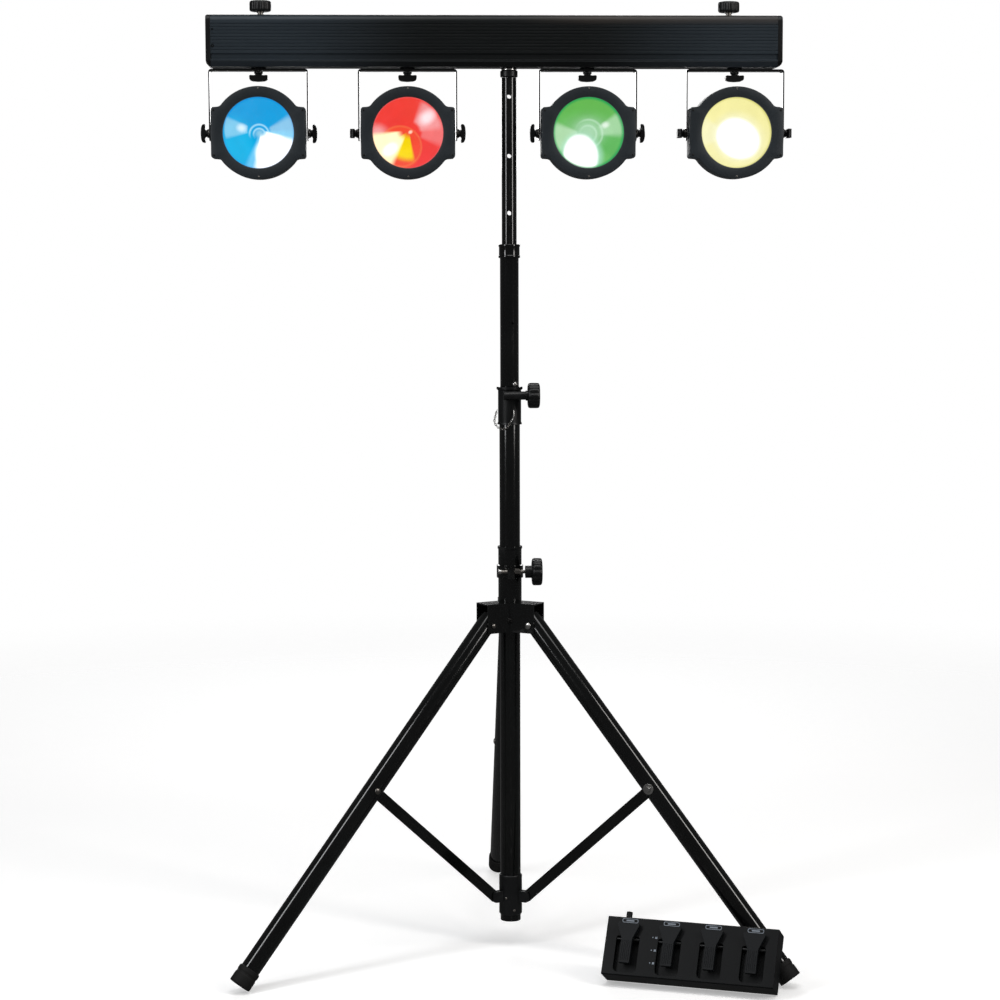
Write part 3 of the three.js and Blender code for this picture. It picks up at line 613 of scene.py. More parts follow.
class Glow(Graph):
    """What a lit lamp's bowl shows, in lens radii from its centre: x to the right, z up."""

    def __init__(self, name, radius):
        super().__init__(name)
        scale = 1 / radius
        parts = self.add("ShaderNodeSeparateXYZ", {0: self.place((scale, scale, scale))})
        self.x, self.z = parts.outputs[0], parts.outputs[2]
        self.r = self.distance(0, 0)

    def distance(self, cx, cz, width=1.0, height=1.0, turn=0.0):
        c, s = math.cos(math.radians(turn)), math.sin(math.radians(turn))
        x = self.minus(self.x, cx)
        z = self.minus(self.z, cz)
        u = self.math("ADD", self.times(x, c / width), self.times(z, s / width))
        v = self.minus(self.times(z, c / height), self.times(x, s / height))
        return self.math("SQRT", self.math("ADD", self.times(u, u), self.times(v, v)))

    def spot(self, cx, cz, width, height, turn=0.0, soft=0.5):
        return self.ramp(self.distance(cx, cz, width, height, turn), 1 - soft, 1, 1, 0)

    def ring(self, cx, cz, radius, width):
        off = self.math("ABSOLUTE", self.minus(self.distance(cx, cz), radius))
        return self.ramp(off, 0, width, 1, 0)

    def fan(self, ax, az, heading, half, soft, near=0.0, far=9.0, edge=0.1):
        """1 inside a wedge from (ax, az) towards heading, half degrees to each side."""
        x = self.minus(self.x, ax)
        z = self.minus(self.z, az)
        c, s = math.cos(math.radians(heading)), math.sin(math.radians(heading))
        ahead = self.math("ADD", self.times(x, c), self.times(z, s))
        away = self.math("MAXIMUM", self.distance(ax, az), 1e-4)
        share = self.math("DIVIDE", ahead, away)
        low = math.cos(math.radians(half + soft))
        mask = self.ramp(share, low, math.cos(math.radians(half)))
        if near > 0:
            mask = self.times(mask, self.ramp(away, near, near + edge))
        if far < 9:
            mask = self.times(mask, self.ramp(away, far, far + edge, 1, 0))
        return mask

    def over(self, base, mask, strength, colour):
        return self.mix(self.times(mask, strength), base, colour)

    def lit(self, colour, strength):
        speck = self.ramp(self.noise(40.0, 2.0), 0.2, 0.8, 0.96, 1.03)
        node = self.add("ShaderNodeMix", {0: 1.0, 6: colour, 7: (1, 1, 1, 1)}, data_type="RGBA",
                        blend_type="MULTIPLY")
        grey = self.add("ShaderNodeCombineXYZ", {0: speck, 1: speck, 2: speck}).outputs[0]
        self.tree.links.new(grey, node.inputs[7])
        self.put(self.shader, "Emission Color", node.outputs[2])
        self.shader.inputs["Emission Strength"].default_value = strength
        self.shader.inputs["Base Color"].default_value = (0.02, 0.02, 0.02, 1)
        self.shader.inputs["Specular IOR Level"].default_value = 0.1
        self.put(self.shader, "Roughness", self.ramp(self.noise(30.0), 0.2, 0.8, 0.3, 0.5))
        return self.material


WHITE = (1.5, 1.5, 1.5)


def blue_glow(radius):
    g = Glow("blue_lamp_glow", radius)
    colour = g.mix(g.ramp(g.z, -0.6, 0.75), (0.0, 0.42, 0.86), (0.0, 0.36, 0.78))
    colour = g.over(colour, g.spot(-0.75, -0.3, 0.8, 0.9), 0.6, (0.0, 0.53, 0.86))
    colour = g.over(colour, g.fan(-0.05, 0.12, 178, 13, 10, 0.28, 0.88, 0.05), 0.55, (0.42, 0.80, 1.0))
    colour = g.over(colour, g.spot(-0.50, 0.16, 0.20, 0.17, 0, 0.9), 0.75, (0.95, 1.1, 1.2))
    colour = g.over(colour, g.fan(0.0, 0.05, 2, 16, 14, 0.25, 1.5), 0.55, (0.50, 0.80, 0.96))
    colour = g.over(colour, g.fan(0.0, 0.1, -56, 47, 12, 0.08, 9, 0.2), 0.55, (0.30, 0.80, 1.1))
    colour = g.over(colour, g.fan(0.02, 0.14, -58, 30, 14, 0.10, 9, 0.16), 1.0, WHITE)
    colour = g.over(colour, g.spot(0.36, -0.50, 0.54, 0.56, -30, 0.35), 1.0, WHITE)
    colour = g.over(colour, g.spot(0.0, 0.02, 0.20, 0.18, 0, 0.9), 0.6, (0.50, 0.85, 0.95))
    for size in (0.16, 0.27):
        arc = g.times(g.ring(-0.02, 0.0, size, 0.045), g.ramp(g.z, -0.15, 0.1))
        colour = g.over(colour, arc, 0.65, (0.55, 0.95, 1.1))
    colour = g.over(colour, g.ramp(g.r, 0.93, 1.02), 0.55, (0.0, 0.20, 0.75))
    return g.lit(colour, 1.0)


def red_glow(radius):
    g = Glow("red_lamp_glow", radius)
    colour = g.mix(g.ramp(g.z, -0.9, 0.7), (0.95, 0.045, 0.045), (0.93, 0.045, 0.035))
    # Painted reflection: this pale pink patch at the left stands in for a studio light's reflection in the
    # cover.
    colour = g.over(colour, g.spot(-0.85, 0.0, 0.42, 0.36, 0, 0.9), 0.8, (1.0, 0.48, 0.48))
    colour = g.over(colour, g.fan(0.05, 0.05, 36, 20, 18, 0.25, 0.82, 0.12), 0.62, (1.0, 0.50, 0.52))
    colour = g.over(colour, g.fan(0.05, 0.05, -2, 14, 16, 0.3, 0.95), 0.45, (1.0, 0.35, 0.36))
    # Painted reflection: this pink-white patch upper right stands in for a studio light's reflection in the
    # cover.
    colour = g.over(colour, g.spot(0.54, 0.44, 0.36, 0.27, 38, 0.85), 0.95, (1.2, 0.92, 0.96))
    colour = g.over(colour, g.spot(-0.22, -0.40, 0.64, 0.68, 20, 0.18), 0.55, (1.0, 0.10, 0.03))
    colour = g.over(colour, g.ring(-0.20, -0.36, 0.58, 0.05), 0.40, (1.0, 0.26, 0.08))
    colour = g.over(colour, g.fan(0.04, 0.10, -114, 28, 9, 0.05, 0.72, 0.24), 0.95, (1.0, 0.78, 0.0))
    colour = g.over(colour, g.fan(0.02, 0.12, -143, 21, 12, 0.15, 9, 0.25), 0.95, (1.3, 1.25, 0.72))
    colour = g.over(colour, g.spot(-0.50, -0.45, 0.34, 0.22, 40, 0.8), 0.9, WHITE)
    colour = g.over(colour, g.spot(0.08, 0.06, 0.09, 0.07, 30, 0.8), 0.9, (1.2, 0.8, 0.6))
    colour = g.over(colour, g.ramp(g.r, 0.95, 1.0), 0.5, (0.95, 0.14, 0.16))
    return g.lit(colour, 1.0)


def green_glow(radius):
    g = Glow("green_lamp_glow", radius)
    colour = g.mix(g.ramp(g.z, -0.2, 0.95), (0.15, 0.54, 0.13), (0.12, 0.49, 0.07))
    colour = g.over(colour, g.spot(0.0, 0.1, 0.95, 0.62, 0, 0.8), 0.55, (0.30, 0.62, 0.30))
    colour = g.over(colour, g.fan(0.0, 0.0, 188, 17, 14, 0.2, 1.4), 0.65, (0.62, 0.88, 0.60))
    colour = g.over(colour, g.fan(0.05, 0.0, 14, 15, 12, 0.3, 0.95), 0.60, (0.55, 0.84, 0.55))
    colour = g.over(colour, g.spot(0.52, 0.24, 0.16, 0.13, 15, 0.9), 0.75, (1.0, 1.1, 1.0))
    colour = g.over(colour, g.fan(0.0, 0.0, -25, 14, 14, 0.35, 1.5), 0.55, (0.10, 0.48, 0.10))
    colour = g.over(colour, g.spot(0.05, 0.02, 0.62, 0.58, 0, 0.9), 0.6, (0.56, 0.84, 0.64))
    for size in (0.24, 0.40):
        arc = g.times(g.ring(0.05, 0.0, size, 0.05), g.ramp(g.x, -0.4, 0.1))
        colour = g.over(colour, arc, 0.45, (0.66, 0.95, 0.72))
    colour = g.over(colour, g.spot(-0.18, -0.60, 0.72, 0.74, 0, 0.35), 0.70, (0.50, 0.90, 0.70))
    colour = g.over(colour, g.spot(-0.20, -0.62, 0.56, 0.68, -8, 0.26), 1.0, WHITE)
    colour = g.over(colour, g.ramp(g.r, 0.90, 1.0), 0.9, (0.0, 0.38, 0.09))
    return g.lit(colour, 1.0)


def yellow_glow(radius):
    g = Glow("yellow_lamp_glow", radius)
    colour = g.mix(g.ramp(g.z, -0.8, 0.9), (0.98, 0.93, 0.45), (0.97, 0.91, 0.38))
    colour = g.over(colour, g.fan(0.0, 0.0, 178, 16, 14, 0.3, 1.4), 0.45, (1.0, 1.0, 0.72))
    colour = g.over(colour, g.spot(0.10, -0.12, 0.88, 0.82, -40, 0.5), 0.75, (1.05, 1.05, 0.78))
    colour = g.over(colour, g.spot(0.12, -0.14, 0.70, 0.62, -40, 0.28), 1.0, WHITE)
    colour = g.over(colour, g.ramp(g.r, 0.93, 1.01), 0.7, (0.62, 0.60, 0.12))
    return g.lit(colour, 1.0)


def clear_cover(name):
    """The thin clear cover: no colour of its own, glossy, with a few dust specks."""
    g = Graph(name)
    tint = g.mix(g.ramp(g.noise(30.0), 0.3, 0.7), (0.012, 0.013, 0.014), (0.022, 0.023, 0.024))
    g.put(g.shader, "Base Color", tint)
    g.put(g.shader, "Roughness", g.ramp(g.noise(18.0, 4.0), 0.3, 0.75, 0.04, 0.12))
    g.put(g.shader, "Alpha", g.ramp(g.noise(260.0, 2.0), 0.70, 0.80, 0.035, 0.06))
    g.shader.inputs["IOR"].default_value = 1.5
    return g.material


cover = clear_cover("clear_lens_cover")
glows = [blue_glow, red_glow, green_glow, yellow_glow]


def lamp(index):
    lamp_name = f"lamp{index}"
    body = body_of(f"{lamp_name}_housing")
    centre = pivot(f"lamp_{index}_tilt")
    centre.x = middle(f"{lamp_name}_housing").x
    window = 61 * MM
    front = housing(f"{lamp_name}_housing", body, centre, window)
    turn = Matrix.Rotation(-math.pi / 2, 4, "X")

    low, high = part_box(f"{lamp_name}_lens")
    edge = (high.z - low.z) / 2
    near, far = low.y - centre.y, high.y - centre.y
    dome = [(0, near)]
    dome += [(window * k / 10, near + 1.6 * MM * (k / 10) ** 2) for k in range(1, 10)]
    dome += [(window + 1 * MM, near + 1.6 * MM), (edge, near + 1.8 * MM), (edge, far), (0, far)]
    piece(f"{lamp_name}_cover", moved(turned(dome, 96), turn), cover, body, at(centre),
          [f"{lamp_name}_lens"])

    low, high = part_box(f"{lamp_name}_reflector")
    near, far = low.y - centre.y, high.y - centre.y
    base, mouth, wall = 13 * MM, 61.5 * MM, 1.2 * MM
    steps = 14
    inside = []
    for k in range(steps + 1):
        t = k / steps
        inside.append((base + (mouth - base) * t ** 0.86, far - 2 * MM - (far - 2 * MM - near) * t))
    outside = [(r + wall, depth + wall * 0.4) for r, depth in reversed(inside)]
    bowl = [(0, far - 2 * MM), *inside, (edge, near), (edge, near + wall), *outside[1:], (0, far)]
    piece(f"{lamp_name}_bowl", moved(turned(bowl, 96), turn), glows[index - 1](mouth), body,
          at(centre), [f"{lamp_name}_reflector"], crisp=60)

    heat_sink(f"{lamp_name}_heat_sink", body, centre)
    ear_screw_x, ear_screw_z, ring_screw_z = 76.5 * MM, 38.5 * MM, 75.5 * MM
    for k, (sx, sz) in enumerate(((-1, 1), (1, 1), (1, -1), (-1, -1))):
        spot = centre + Vector((sx * ear_screw_x, front, sz * ear_screw_z))
        dome_head(f"{lamp_name}_ear_screw_{k + 1}", 2.1 * MM, 0.5 * MM, moulded, body, facing(FRONT, spot))
    for k, sz in enumerate((1, -1)):
        spot = centre + Vector((0, front, sz * ring_screw_z))
        dome_head(f"{lamp_name}_ring_screw_{k + 1}", 1.5 * MM, 0.35 * MM, dull_steel, body,
                  facing(FRONT, spot))

    dress(f"{lamp_name}_yoke", enamel, 0.4 * MM)
    yoke_low, yoke_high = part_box(f"{lamp_name}_yoke")
    for side, sign, seat_x in (("left", -1, yoke_low.x), ("right", 1, yoke_high.x)):
        node = f"{lamp_name}_tilt_knob_{side}"
        wing_knob(node, Vector((sign, 0, 0)), Vector((seat_x, centre.y, centre.z)), 8.5 * MM)
        washer(f"{node}_washer", 9 * MM, 0.6 * MM, dull_steel, body_of(node),
               facing((sign, 0, 0), Vector((seat_x + sign * 0.1 * MM, centre.y, centre.z))))
    under_strap = Vector((centre.x, centre.y, pivot(f"lamp_{index}_pan").z))
    wing_knob(f"{lamp_name}_pan_knob", Vector((0, 0, -1)), under_strap, 11.5 * MM)


for index in (1, 2, 3, 4):
    lamp(index)


# ---- the column ----
column = middle("tube_lower")
column.z = 0
BORE_SHARE = 0.9     # of a tube's radius

low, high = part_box("tube_lower")
radius = (high.x - low.x) / 2
profile = softened([(radius * BORE_SHARE, low.z), (radius, low.z), (radius, high.z),
                    (radius * BORE_SHARE, high.z)], 0.4 * MM)
piece("tube_lower_skin", turned(profile, 72), enamel, body_of("tube_lower"),
      at(column), ["tube_lower"], crisp=40)

low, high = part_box("tube_middle")
ring = (high.x - low.x) / 2
barrel = ring - 2.5 * MM
bore = barrel * 0.88
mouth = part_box("tube_top")[1].x - column.x + 0.3 * MM
profile = [(bore, low.z), (barrel, low.z), (barrel, high.z - 24.5 * MM), (ring, high.z - 24 * MM),
           (ring, high.z - 20 * MM), (ring - 0.8 * MM, high.z - 19 * MM),
           (ring - 0.8 * MM, high.z - 5 * MM), (ring, high.z - 4 * MM), (ring, high.z - 0.8 * MM),
           (ring - 1 * MM, high.z), (mouth, high.z), (mouth, high.z - 12 * MM), (bore, high.z - 14 * MM)]
middle_tube = piece("tube_middle_skin", turned(softened(profile, 0.4 * MM), 72), enamel,
                    body_of("tube_middle"), at(column), ["tube_middle"],
                    crisp=40)
hole_height = 1118 * MM
front_hole = moved(rod(2.2 * MM, -30 * MM, -5 * MM, 0),
                   at((4.5 * MM, 0, hole_height)) @ Matrix.Rotation(-math.pi / 2, 4, "X"))
carve(middle_tube, [front_hole])

low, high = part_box("tube_top")
top_radius = (high.x - low.x) / 2
pin_radius = 4 * MM
pin_heights = [1310 * MM, 1409 * MM, 1511.5 * MM]
top_bore = top_radius * BORE_SHARE
band = 7 * MM     # from a pin hole's middle to the edge of the ring of faces it is cut in
profile = [(top_bore, low.z), (top_radius, low.z)]
for height in pin_heights:
    profile += [(top_radius, height - band), (top_radius, height + band)]
profile += [(top_radius, high.z), (top_bore, high.z)]
for height in reversed(pin_heights):
    profile += [(top_bore, height + band), (top_bore, height - band)]
top_tube = piece("tube_top_skin", turned(profile, 72), enamel, body_of("tube_top"),
                 at(column), ["tube_top"], crisp=40)
across = Matrix.Rotation(-math.pi / 2, 4, "X")
carve(top_tube, [moved(rod(pin_radius, -30 * MM, 30 * MM, 0), at((0, 0, height)) @ across)
                 for height in pin_heights])

low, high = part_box("mast_plug")
under_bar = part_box("bar_extrusion")[0].z
plug = (high.x - low.x) / 2
profile = [(0, under_bar - 16 * MM), (plug - 0.4 * MM, under_bar - 16 * MM), (plug, under_bar - 15.4 * MM),
           (plug, under_bar - 6 * MM), (plug - 1 * MM, under_bar - 5 * MM), (0, under_bar - 5 * MM)]
piece("mast_plug_sleeve", turned(softened(profile, 0.4 * MM, closed=False)), moulded, body_of("mast_plug"),
      at(column), ["mast_plug"])
profile = [(0, -5 * MM), (plug - 2.2 * MM, -5 * MM), (plug - 1.6 * MM, -4 * MM), (plug - 1.6 * MM, -1.4 * MM),
           (plug - 2.6 * MM, -0.4 * MM), (0, -0.4 * MM)]
piece("mast_washer", turned(softened(profile, 0.8 * MM, closed=False)), chrome, body_of("mast_plug"),
      at(Vector((column.x, column.y, under_bar))))

dress("collar_mid", moulded, 0.5 * MM)
dress("collar_bottom", moulded, 0.5 * MM)
dress("hub", enamel, 0.5 * MM)


def clamp_knob(node, neck_radius, neck_length, lobes):
    """A hand knob on a clamp, its axis along X."""
    low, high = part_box(node)
    centre = middle(node)
    radius = (high.z - low.z) / 2
    thickness = (21 if node == "knob_mid" else 18) * MM
    start = Vector((high.x - thickness - neck_length, centre.y, centre.z))
    place = facing((1, 0, 0), start)
    made = piece(f"{node}_grip", lobed_grip(radius, thickness, lobes, 1.5 * MM, neck_length), moulded,
                 body_of(node), place, [node], crisp=40)
    neck = turned(softened([(0, 0.2 * MM), (neck_radius, 0.2 * MM), (neck_radius, neck_length + 1 * MM),
                            (0, neck_length + 1 * MM)], 0.8 * MM, closed=False), 48)
    carve(made, [neck], "UNION", 40)
    return start


start = clamp_knob("knob_mid", 9 * MM, 4 * MM, 12)
piece("knob_mid_screw", rod(4 * MM, -8 * MM, 1 * MM), dull_steel, body_of("knob_mid"),
      facing((1, 0, 0), start))
start = clamp_knob("knob_hub", 11 * MM, 12 * MM, 12)
place = facing((1, 0, 0), start)
piece("knob_hub_screw", rod(3.2 * MM, -43.2 * MM, 1 * MM), dull_steel, body_of("knob_hub"), place)
hex_nut("knob_hub_nut", 9.4 * MM, 10.5 * MM, dull_steel, body_of("knob_hub"),
        facing((1, 0, 0), start - Vector((18.6 * MM, 0, 0))))
piece("knob_hub_end", rod(4.2 * MM, -47.2 * MM, -42 * MM), chrome, body_of("knob_hub"), place)

# the collar's slotted screw, its locking pin and the chain that keeps the pin
collar_body = body_of("collar_mid")
collar_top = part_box("collar_mid")[1].z
screw_spot = Vector((column.x + 9 * MM, column.y - 18 * MM, collar_top + 5 * MM))
screw_place = facing((0.15, -1, 0.1), screw_spot)
ear = turned(softened([(0, -3 * MM), (6.2 * MM, -3 * MM), (6.2 * MM, 0), (0, 0)], 0.6 * MM, closed=False), 32)
piece("collar_screw_ear", ear, moulded, collar_body, screw_place)
dome_head("collar_screw", 4 * MM, 2 * MM, chrome, collar_body, screw_place, True)


def wire(name, points, radius, material, body, cyclic=False):
    """A bent wire along a smooth curve, kept as a mesh."""
    curve = bpy.data.curves.new(name, "CURVE")
    curve.dimensions = "3D"
    curve.bevel_depth = radius
    curve.bevel_resolution = 4
    curve.use_fill_caps = True
    spline = curve.splines.new("POLY")
    spline.points.add(len(points) - 1)
    for point, where in zip(spline.points, points):
        point.co = (*where, 1)
    spline.use_cyclic_u = cyclic
    made = bpy.data.objects.new(name, curve)
    bpy.context.scene.collection.objects.link(made)
    graph = bpy.context.evaluated_depsgraph_get()
    mesh = bpy.data.meshes.new_from_object(made.evaluated_get(graph))
    bpy.data.objects.remove(made)
    solid = bpy.data.objects.new(name, mesh)
    bpy.context.scene.collection.objects.link(solid)
    mesh.materials.clear()
    mesh.materials.append(material)
    shade(mesh, 60)
    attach(solid, body)
    return solid


def arc_through(points, count):
    """Evenly spaced points on a smooth curve through the given ones."""
    dense = []
    padded = [points[0], *points, points[-1]]
    for a, b, c, d in zip(padded, padded[1:], padded[2:], padded[3:]):
        for k in range(24):
            t = k / 24
            dense.append(0.5 * ((2 * b) + (c - a) * t + (2 * a - 5 * b + 4 * c - d) * t * t
                                + (3 * b - a - 3 * c + d) * t ** 3))
    dense.append(points[-1])
    lengths = [0.0]
    for a, b in zip(dense, dense[1:]):
        lengths.append(lengths[-1] + (b - a).length)
    even = []
    for k in range(count):
        goal = lengths[-1] * k / (count - 1)
        i = max(1, next(n for n, value in enumerate(lengths) if value >= goal - 1e-9))
        span = lengths[i] - lengths[i - 1]
        t = (goal - lengths[i - 1]) / span if span > 0 else 0
        even.append(dense[i - 1].lerp(dense[i], t))
    return even


COLLAR_SKIN = 21.6     # mm, from the column's axis to the collar's skin


def on_collar(x, z, off=3.0):
    """A point in front of the collar's skin, from millimetres beside the column and above the floor."""
    skin = COLLAR_SKIN + off
    y = -math.sqrt(max(4.0, skin * skin - x * x)) if abs(x) < skin else -2.0
    return column + Vector((x * MM, y * MM, z * MM))


chain = arc_through([on_collar(-22.5, 965, 1.5), on_collar(-25.5, 955, 5), on_collar(-27.0, 945, 7),
                     on_collar(-22.0, 936, 4), on_collar(-13.0, 932), on_collar(-4.0, 937),
                     on_collar(1.5, 946)], 20)
for k, (a, b) in enumerate(zip(chain, chain[1:])):
    heading = (b - a).normalized()
    flat = heading.cross(Vector((0, 1, 0))).normalized()
    side = flat if k % 2 else heading.cross(flat).normalized()
    centre = (a + b) / 2
    length, width = (b - a).length * 0.80, 1.7 * MM
    loop = []
    for n in range(16):
        turn = 2 * math.pi * n / 16
        loop.append(centre + heading * length * math.cos(turn) + side * width * math.sin(turn))
    wire(f"chain_link_{k + 1}", loop, 0.55 * MM, dull_steel if k % 3 else chrome, collar_body, cyclic=True)
pin = arc_through([on_collar(6.0, 966, 1.0), on_collar(6.5, 958, 3.5), on_collar(5.0, 951, 3.5),
                   on_collar(1.5, 946, 3.0)], 24)
wire("locking_pin", pin, 1.0 * MM, chrome, collar_body)
seat_squared = 416     # mm squared, from the column's axis to a bottom screw's seat
for k, (x, z) in enumerate(((-9, 90), (5.5, 68))):
    y = -math.sqrt(seat_squared - x * x)
    spot = column + Vector((x * MM, y * MM, z * MM))
    dome_head(f"bottom_screw_{k + 1}", 2.4 * MM, 0.9 * MM, dull_steel, body_of("collar_bottom"),
              facing(Vector((x, y, 0)), spot))


# ---- legs, feet and braces ----
LEG_LEAN = math.radians(40.55)     # of a leg's axis from upright
HUB_BOLT_SEAT = 20.9     # mm, from a leg's hinge along its axis to the hub bolt's seat
BRACE_BOLT_SEAT = 17.0     # mm, the same for the bolt through a brace


def leg_frame(side):
    """A leg's hinge, the pivot of its brace, its outward direction and its direction up the leg."""
    hinge = pivot(f"{side}_leg_fold")
    brace = pivot(f"{side}_brace_fold")
    radial = Vector((hinge.x - column.x, hinge.y - column.y, 0)).normalized()
    up = (Vector((0, 0, math.cos(LEG_LEAN))) - radial * math.sin(LEG_LEAN)).normalized()
    return hinge, brace, radial, up


for side in ("right", "left", "rear"):
    hinge, brace, radial, up = leg_frame(side)
    axis = Vector(joints[f"{side}_leg_fold"]["axis"]).normalized()
    reach = (hinge - brace).dot(up)
    leg_body, hub_body = body_of(f"leg_{side}"), body_of("hub")
    tube_radius = 17 * MM
    foot_radius = 19.5 * MM
    lean = math.acos(up.z)
    foot_low = -(brace.z - foot_radius * math.sin(lean)) / math.cos(lean)
    top = reach + 14 * MM
    place = facing(up, brace, radial)
    shell = softened([(tube_radius - 1.5 * MM, foot_low + 4.3 * MM), (tube_radius, foot_low + 4.3 * MM),
                      (tube_radius, top), (tube_radius - 1.5 * MM, top)], 0.4 * MM)
    leg = piece(f"leg_{side}_skin", turned(shell, 72), enamel, leg_body, place,
                [f"leg_{side}"], crisp=40)
    slot = plate([(-30 * MM, -76 * MM), (-5 * MM, -76 * MM), (-5 * MM, 12 * MM), (-30 * MM, 12 * MM)],
                 -2.8 * MM, 2.8 * MM)
    carve(leg, [slot], crisp=40)
    length = 31.5 * MM
    bottom = foot_low
    profile = [(0, bottom), (foot_radius - 1 * MM, bottom), (foot_radius, bottom + 1 * MM),
               (foot_radius, bottom + length * 0.55), (foot_radius - 0.9 * MM, bottom + length * 0.6),
               (foot_radius - 0.9 * MM, bottom + length * 0.7), (foot_radius, bottom + length * 0.75),
               (foot_radius - 0.2 * MM, bottom + length - 1 * MM), (foot_radius - 1.2 * MM, bottom + length),
               (tube_radius + 0.1 * MM, bottom + length), (tube_radius + 0.1 * MM, bottom + 4 * MM),
               (0, bottom + 4 * MM)]
    piece(f"foot_{side}_boot", turned(softened(profile, 0.5 * MM, closed=False), 72), rubber, leg_body, place,
          [f"foot_{side}"], crisp=40)
    dress(f"brace_{side}", enamel, 0.8 * MM)
    facing_front = axis if axis.y < 0 or side == "rear" else -axis
    hub_head = {"right": (6.0, 2.2, chrome), "left": (4.2, 1.8, dull_steel),
                "rear": (5.0, 2.0, dull_steel)}[side]
    brace_head = (9.5, 3.0, chrome) if side == "right" else (5.4, 2.4, dull_steel)
    for way, sign in (("front", 1), ("back", -1)):
        out = facing_front * sign
        spot = hinge + out * HUB_BOLT_SEAT * MM
        dome_head(f"hub_bolt_{side}_{way}", hub_head[0] * MM, hub_head[1] * MM, hub_head[2], hub_body,
                  facing(out, spot), way == "front" and side == "right")
        spot = brace + out * BRACE_BOLT_SEAT * MM
        if side == "right" and way == "front":
            washer(f"brace_washer_{side}", 9.6 * MM, 1.6 * MM, chrome, leg_body, facing(out, spot))
            hex_nut(f"brace_bolt_{side}_{way}", 9 * MM, 4 * MM, chrome, leg_body,
                    facing(out, spot + out * 1.2 * MM))
        else:
            dome_head(f"brace_bolt_{side}_{way}", brace_head[0] * MM, brace_head[1] * MM, brace_head[2],
                      leg_body, facing(out, spot))


# ---- the foot controller ----
dress("controller_case", sheet, 0.6 * MM)
hinge_line = Vector(joints["pedal_1_press"]["axis"]).normalized()
case_body = body_of("controller_case")
case_lean = math.radians(60.2)
pedal_points = [pivot(f"pedal_{k}_press") for k in (1, 2, 3, 4)]
flat_out = Vector((hinge_line.y, -hinge_line.x, 0)).normalized()
outward = (flat_out * math.sin(case_lean) + Vector((0, 0, 1)) * math.cos(case_lean)).normalized()
up_face = outward.cross(hinge_line).normalized()
if up_face.z < 0:
    up_face = -up_face
face_above_pivot = 3 * MM
neck_down = 38 * MM


def on_tread(point, across, down, lift=0.0):
    """A point on the tread face: across from a pedal's middle, down from the case's upper edge."""
    start = point + outward * (face_above_pivot + lift)
    return start + hinge_line * across + up_face * (neck_down - down)


def tread_place(point, across, down, lift=0.0):
    """X across the face, Y down the case's own depth, Z up the face."""
    turn = Matrix((hinge_line, -outward, up_face)).transposed()
    return at(on_tread(point, across, down, lift)) @ turn.to_4x4()


for k, point in enumerate(pedal_points):
    node = f"pedal_{k + 1}"
    head, stem = 19.5 * MM, 9.25 * MM
    ring = [(-stem, -81 * MM), (stem, -81 * MM), (stem, -40 * MM), (head - 0.6 * MM, -16 * MM),
            (head - 1.4 * MM, -12 * MM), (-head + 1.4 * MM, -12 * MM), (-head + 0.6 * MM, -16 * MM),
            (-stem, -40 * MM)]
    top_plate = plate(softened(ring, 1.5 * MM, steps=2), -9.6 * MM, -0.6 * MM)
    place = tread_place(point, 0, 0)
    made = piece(f"{node}_plate", top_plate, tread, body_of(node), place, [node], crisp=45)
    grooves = []
    for n in range(5):
        x = (n - 2) * 3.2 * MM
        grooves.append(plate([(x - 0.45 * MM, -77 * MM), (x + 0.45 * MM, -77 * MM), (x + 0.45 * MM, -43 * MM),
                              (x - 0.45 * MM, -43 * MM)], -10 * MM, -8.9 * MM))
    carve(made, grooves, crisp=45)
    rounded(made, 0.7 * MM, 2, 40)
    pin = moved(rod(2.5 * MM, -19.5 * MM, 19.5 * MM),
                at((0, 3 * MM, -neck_down)) @ Matrix.Rotation(math.pi / 2, 4, "Y"))
    piece(f"{node}_pin", pin, moulded, body_of(node), place)
    web = plate([(-7.5 * MM, -42 * MM), (7.5 * MM, -42 * MM), (7.5 * MM, -35 * MM), (-7.5 * MM, -35 * MM)],
                -1 * MM, 4.5 * MM)
    piece(f"{node}_web", web, tread, body_of(node), place)

    label = [(-14 * MM, -9.7 * MM), (14 * MM, -9.7 * MM), (14 * MM, -2.6 * MM), (-14 * MM, -2.6 * MM)]
    outer = softened(label, 3.2 * MM, steps=5)
    inner = [(x * 0.93, -6.15 * MM + (z + 6.15 * MM) * 0.74) for x, z in outer]
    rings = [[(x, depth, z) for x, z in shape] for shape, depth in
             ((outer, 0.02 * MM), (outer, -0.12 * MM), (inner, -0.12 * MM), (inner, 0.02 * MM))]
    piece(f"label_{k + 1}_outline", stacked(rings, closed=True), print_grey, case_body, place)
    bar_mark = softened([(-7 * MM, -7.4 * MM), (7 * MM, -7.4 * MM), (7 * MM, -4.9 * MM),
                         (-7 * MM, -4.9 * MM)], 1.0 * MM)
    piece(f"label_{k + 1}_bar", plate(bar_mark, -0.12 * MM, 0.02 * MM), print_grey, case_body, place)

between = pedal_points[0]
for k, down in enumerate((32, 54, 76)):
    place = tread_place(between, 43 * MM, down * MM)
    lamp_dot = moved(rod(1.1 * MM, -0.02 * MM, 0.5 * MM, 0.2 * MM, 24), Matrix.Rotation(math.pi / 2, 4, "X"))
    piece(f"indicator_{k + 1}", lamp_dot, print_grey, case_body, place)
    tick = plate([(4 * MM, -1.8 * MM), (7.6 * MM, -1.8 * MM), (7.6 * MM, 1.8 * MM), (4 * MM, 1.8 * MM)],
                 -0.12 * MM, 0.02 * MM)
    piece(f"indicator_{k + 1}_tick", tick, print_grey, case_body, place)


# ---- the rest of the CAD nodes keep their shape, in the moulded finish ----
for name, made in nodes.items():
    if made.hide_render or any(m.type == "WELD" for m in made.modifiers):
        continue
    dress(name, moulded)


# ---- stage, light and camera ----
scene = bpy.context.scene
scene.view_settings.view_transform = "Standard"


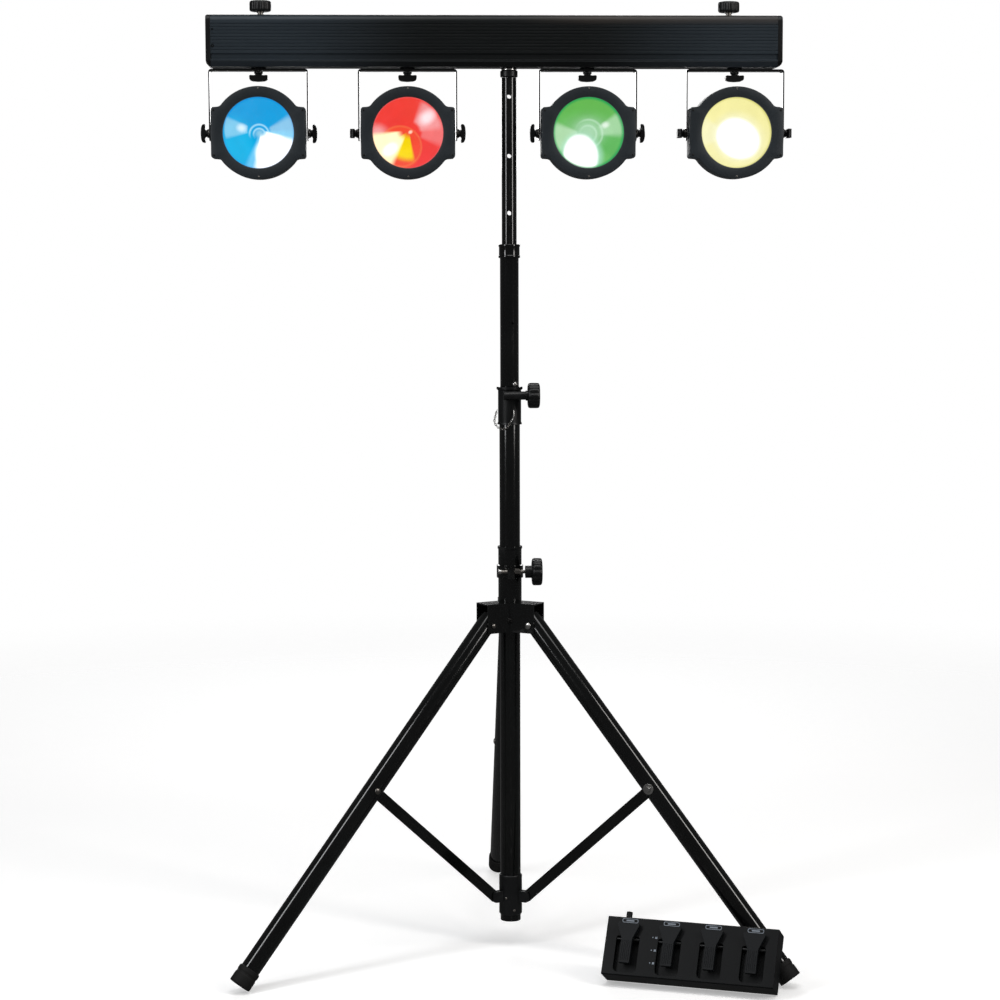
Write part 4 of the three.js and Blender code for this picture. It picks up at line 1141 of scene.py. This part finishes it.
def floor():
    bm = bmesh.new()
    bmesh.ops.create_circle(bm, cap_ends=True, segments=96, radius=4.5)
    mesh = bpy.data.meshes.new("floor")
    bm.to_mesh(mesh)
    bm.free()
    made = bpy.data.objects.new("floor", mesh)
    scene.collection.objects.link(made)
    made.location = (0, 0, -0.0005)
    g = Graph("pale_floor")
    where = g.add("ShaderNodeSeparateXYZ", {0: g.place()})
    flat = g.add("ShaderNodeCombineXYZ", {0: where.outputs[0], 1: where.outputs[1]}).outputs[0]
    away = g.add("ShaderNodeVectorMath", {0: flat}, operation="LENGTH").outputs["Value"]
    g.put(g.shader, "Base Color", g.mix(g.noise(2.0), (0.90, 0.90, 0.90), (0.92, 0.92, 0.92)))
    g.put(g.shader, "Alpha", g.ramp(away, 1.1, 4.2, 1, 0))
    g.shader.inputs["Roughness"].default_value = 0.9
    g.shader.inputs["Specular IOR Level"].default_value = 0.0
    g.put(g.shader, "Emission Color", (1.0, 1.0, 1.0, 1.0))
    g.shader.inputs["Emission Strength"].default_value = 0.34
    mesh.materials.append(g.material)
    made.visible_glossy = False
    made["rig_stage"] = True


def softbox(name, azimuth, distance, height, width, tall, radiance, colour=(1, 1, 1)):
    """A soft light that stands round the column and faces it; azimuth 0 is in front."""
    light = bpy.data.lights.new(name, "AREA")
    light.shape = "RECTANGLE"
    light.size, light.size_y = width, tall
    light.energy = radiance * math.pi * width * tall
    light.color = colour
    made = bpy.data.objects.new(name, light)
    scene.collection.objects.link(made)
    turn = math.radians(azimuth)
    made.location = (math.sin(turn) * distance, -math.cos(turn) * distance, height)
    aim = Vector((0, 0, 1.6)) - made.location
    made.rotation_euler = aim.to_track_quat("-Z", "Y").to_euler()
    made.visible_camera = False


floor()
softbox("strip_left", -51, 3.2, 2.6, 0.6, 2.9, 10.0, (0.97, 0.98, 1.0))
softbox("strip_right", 51, 3.2, 2.6, 0.6, 2.9, 10.0, (1.0, 0.97, 0.94))
softbox("back_panel", 180, 3.6, 2.3, 2.2, 1.6, 5.0)
softbox("top_panel", 10, 1.2, 4.4, 2.4, 2.4, 3.2)

world = bpy.data.worlds.new("studio")
world.use_nodes = True
scene.world = world
tree = world.node_tree
backdrop = tree.nodes["Background"]
backdrop.inputs[0].default_value = (1, 1, 1, 1)
path = tree.nodes.new("ShaderNodeLightPath")
share = tree.nodes.new("ShaderNodeMapRange")
share.inputs[3].default_value = 0.09
share.inputs[4].default_value = 1.0
tree.links.new(path.outputs["Is Camera Ray"], share.inputs[0])
tree.links.new(share.outputs[0], backdrop.inputs[1])

camera_data = bpy.data.cameras.new("camera")
camera_data.sensor_width = 36.0
camera_data.lens = 89.894
camera_data.clip_end = 100
camera = bpy.data.objects.new("camera", camera_data)
scene.collection.objects.link(camera)
yaw, pitch, roll = -0.0477, 0.0979, -0.0025
camera.matrix_world = (at(column + Vector((-0.22705, -4.39312, 1.23746)))
                       @ Matrix.Rotation(yaw, 4, "Z") @ Matrix.Rotation(math.pi / 2 - pitch, 4, "X")
                       @ Matrix.Rotation(roll, 4, "Z"))
scene.camera = camera

low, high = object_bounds()
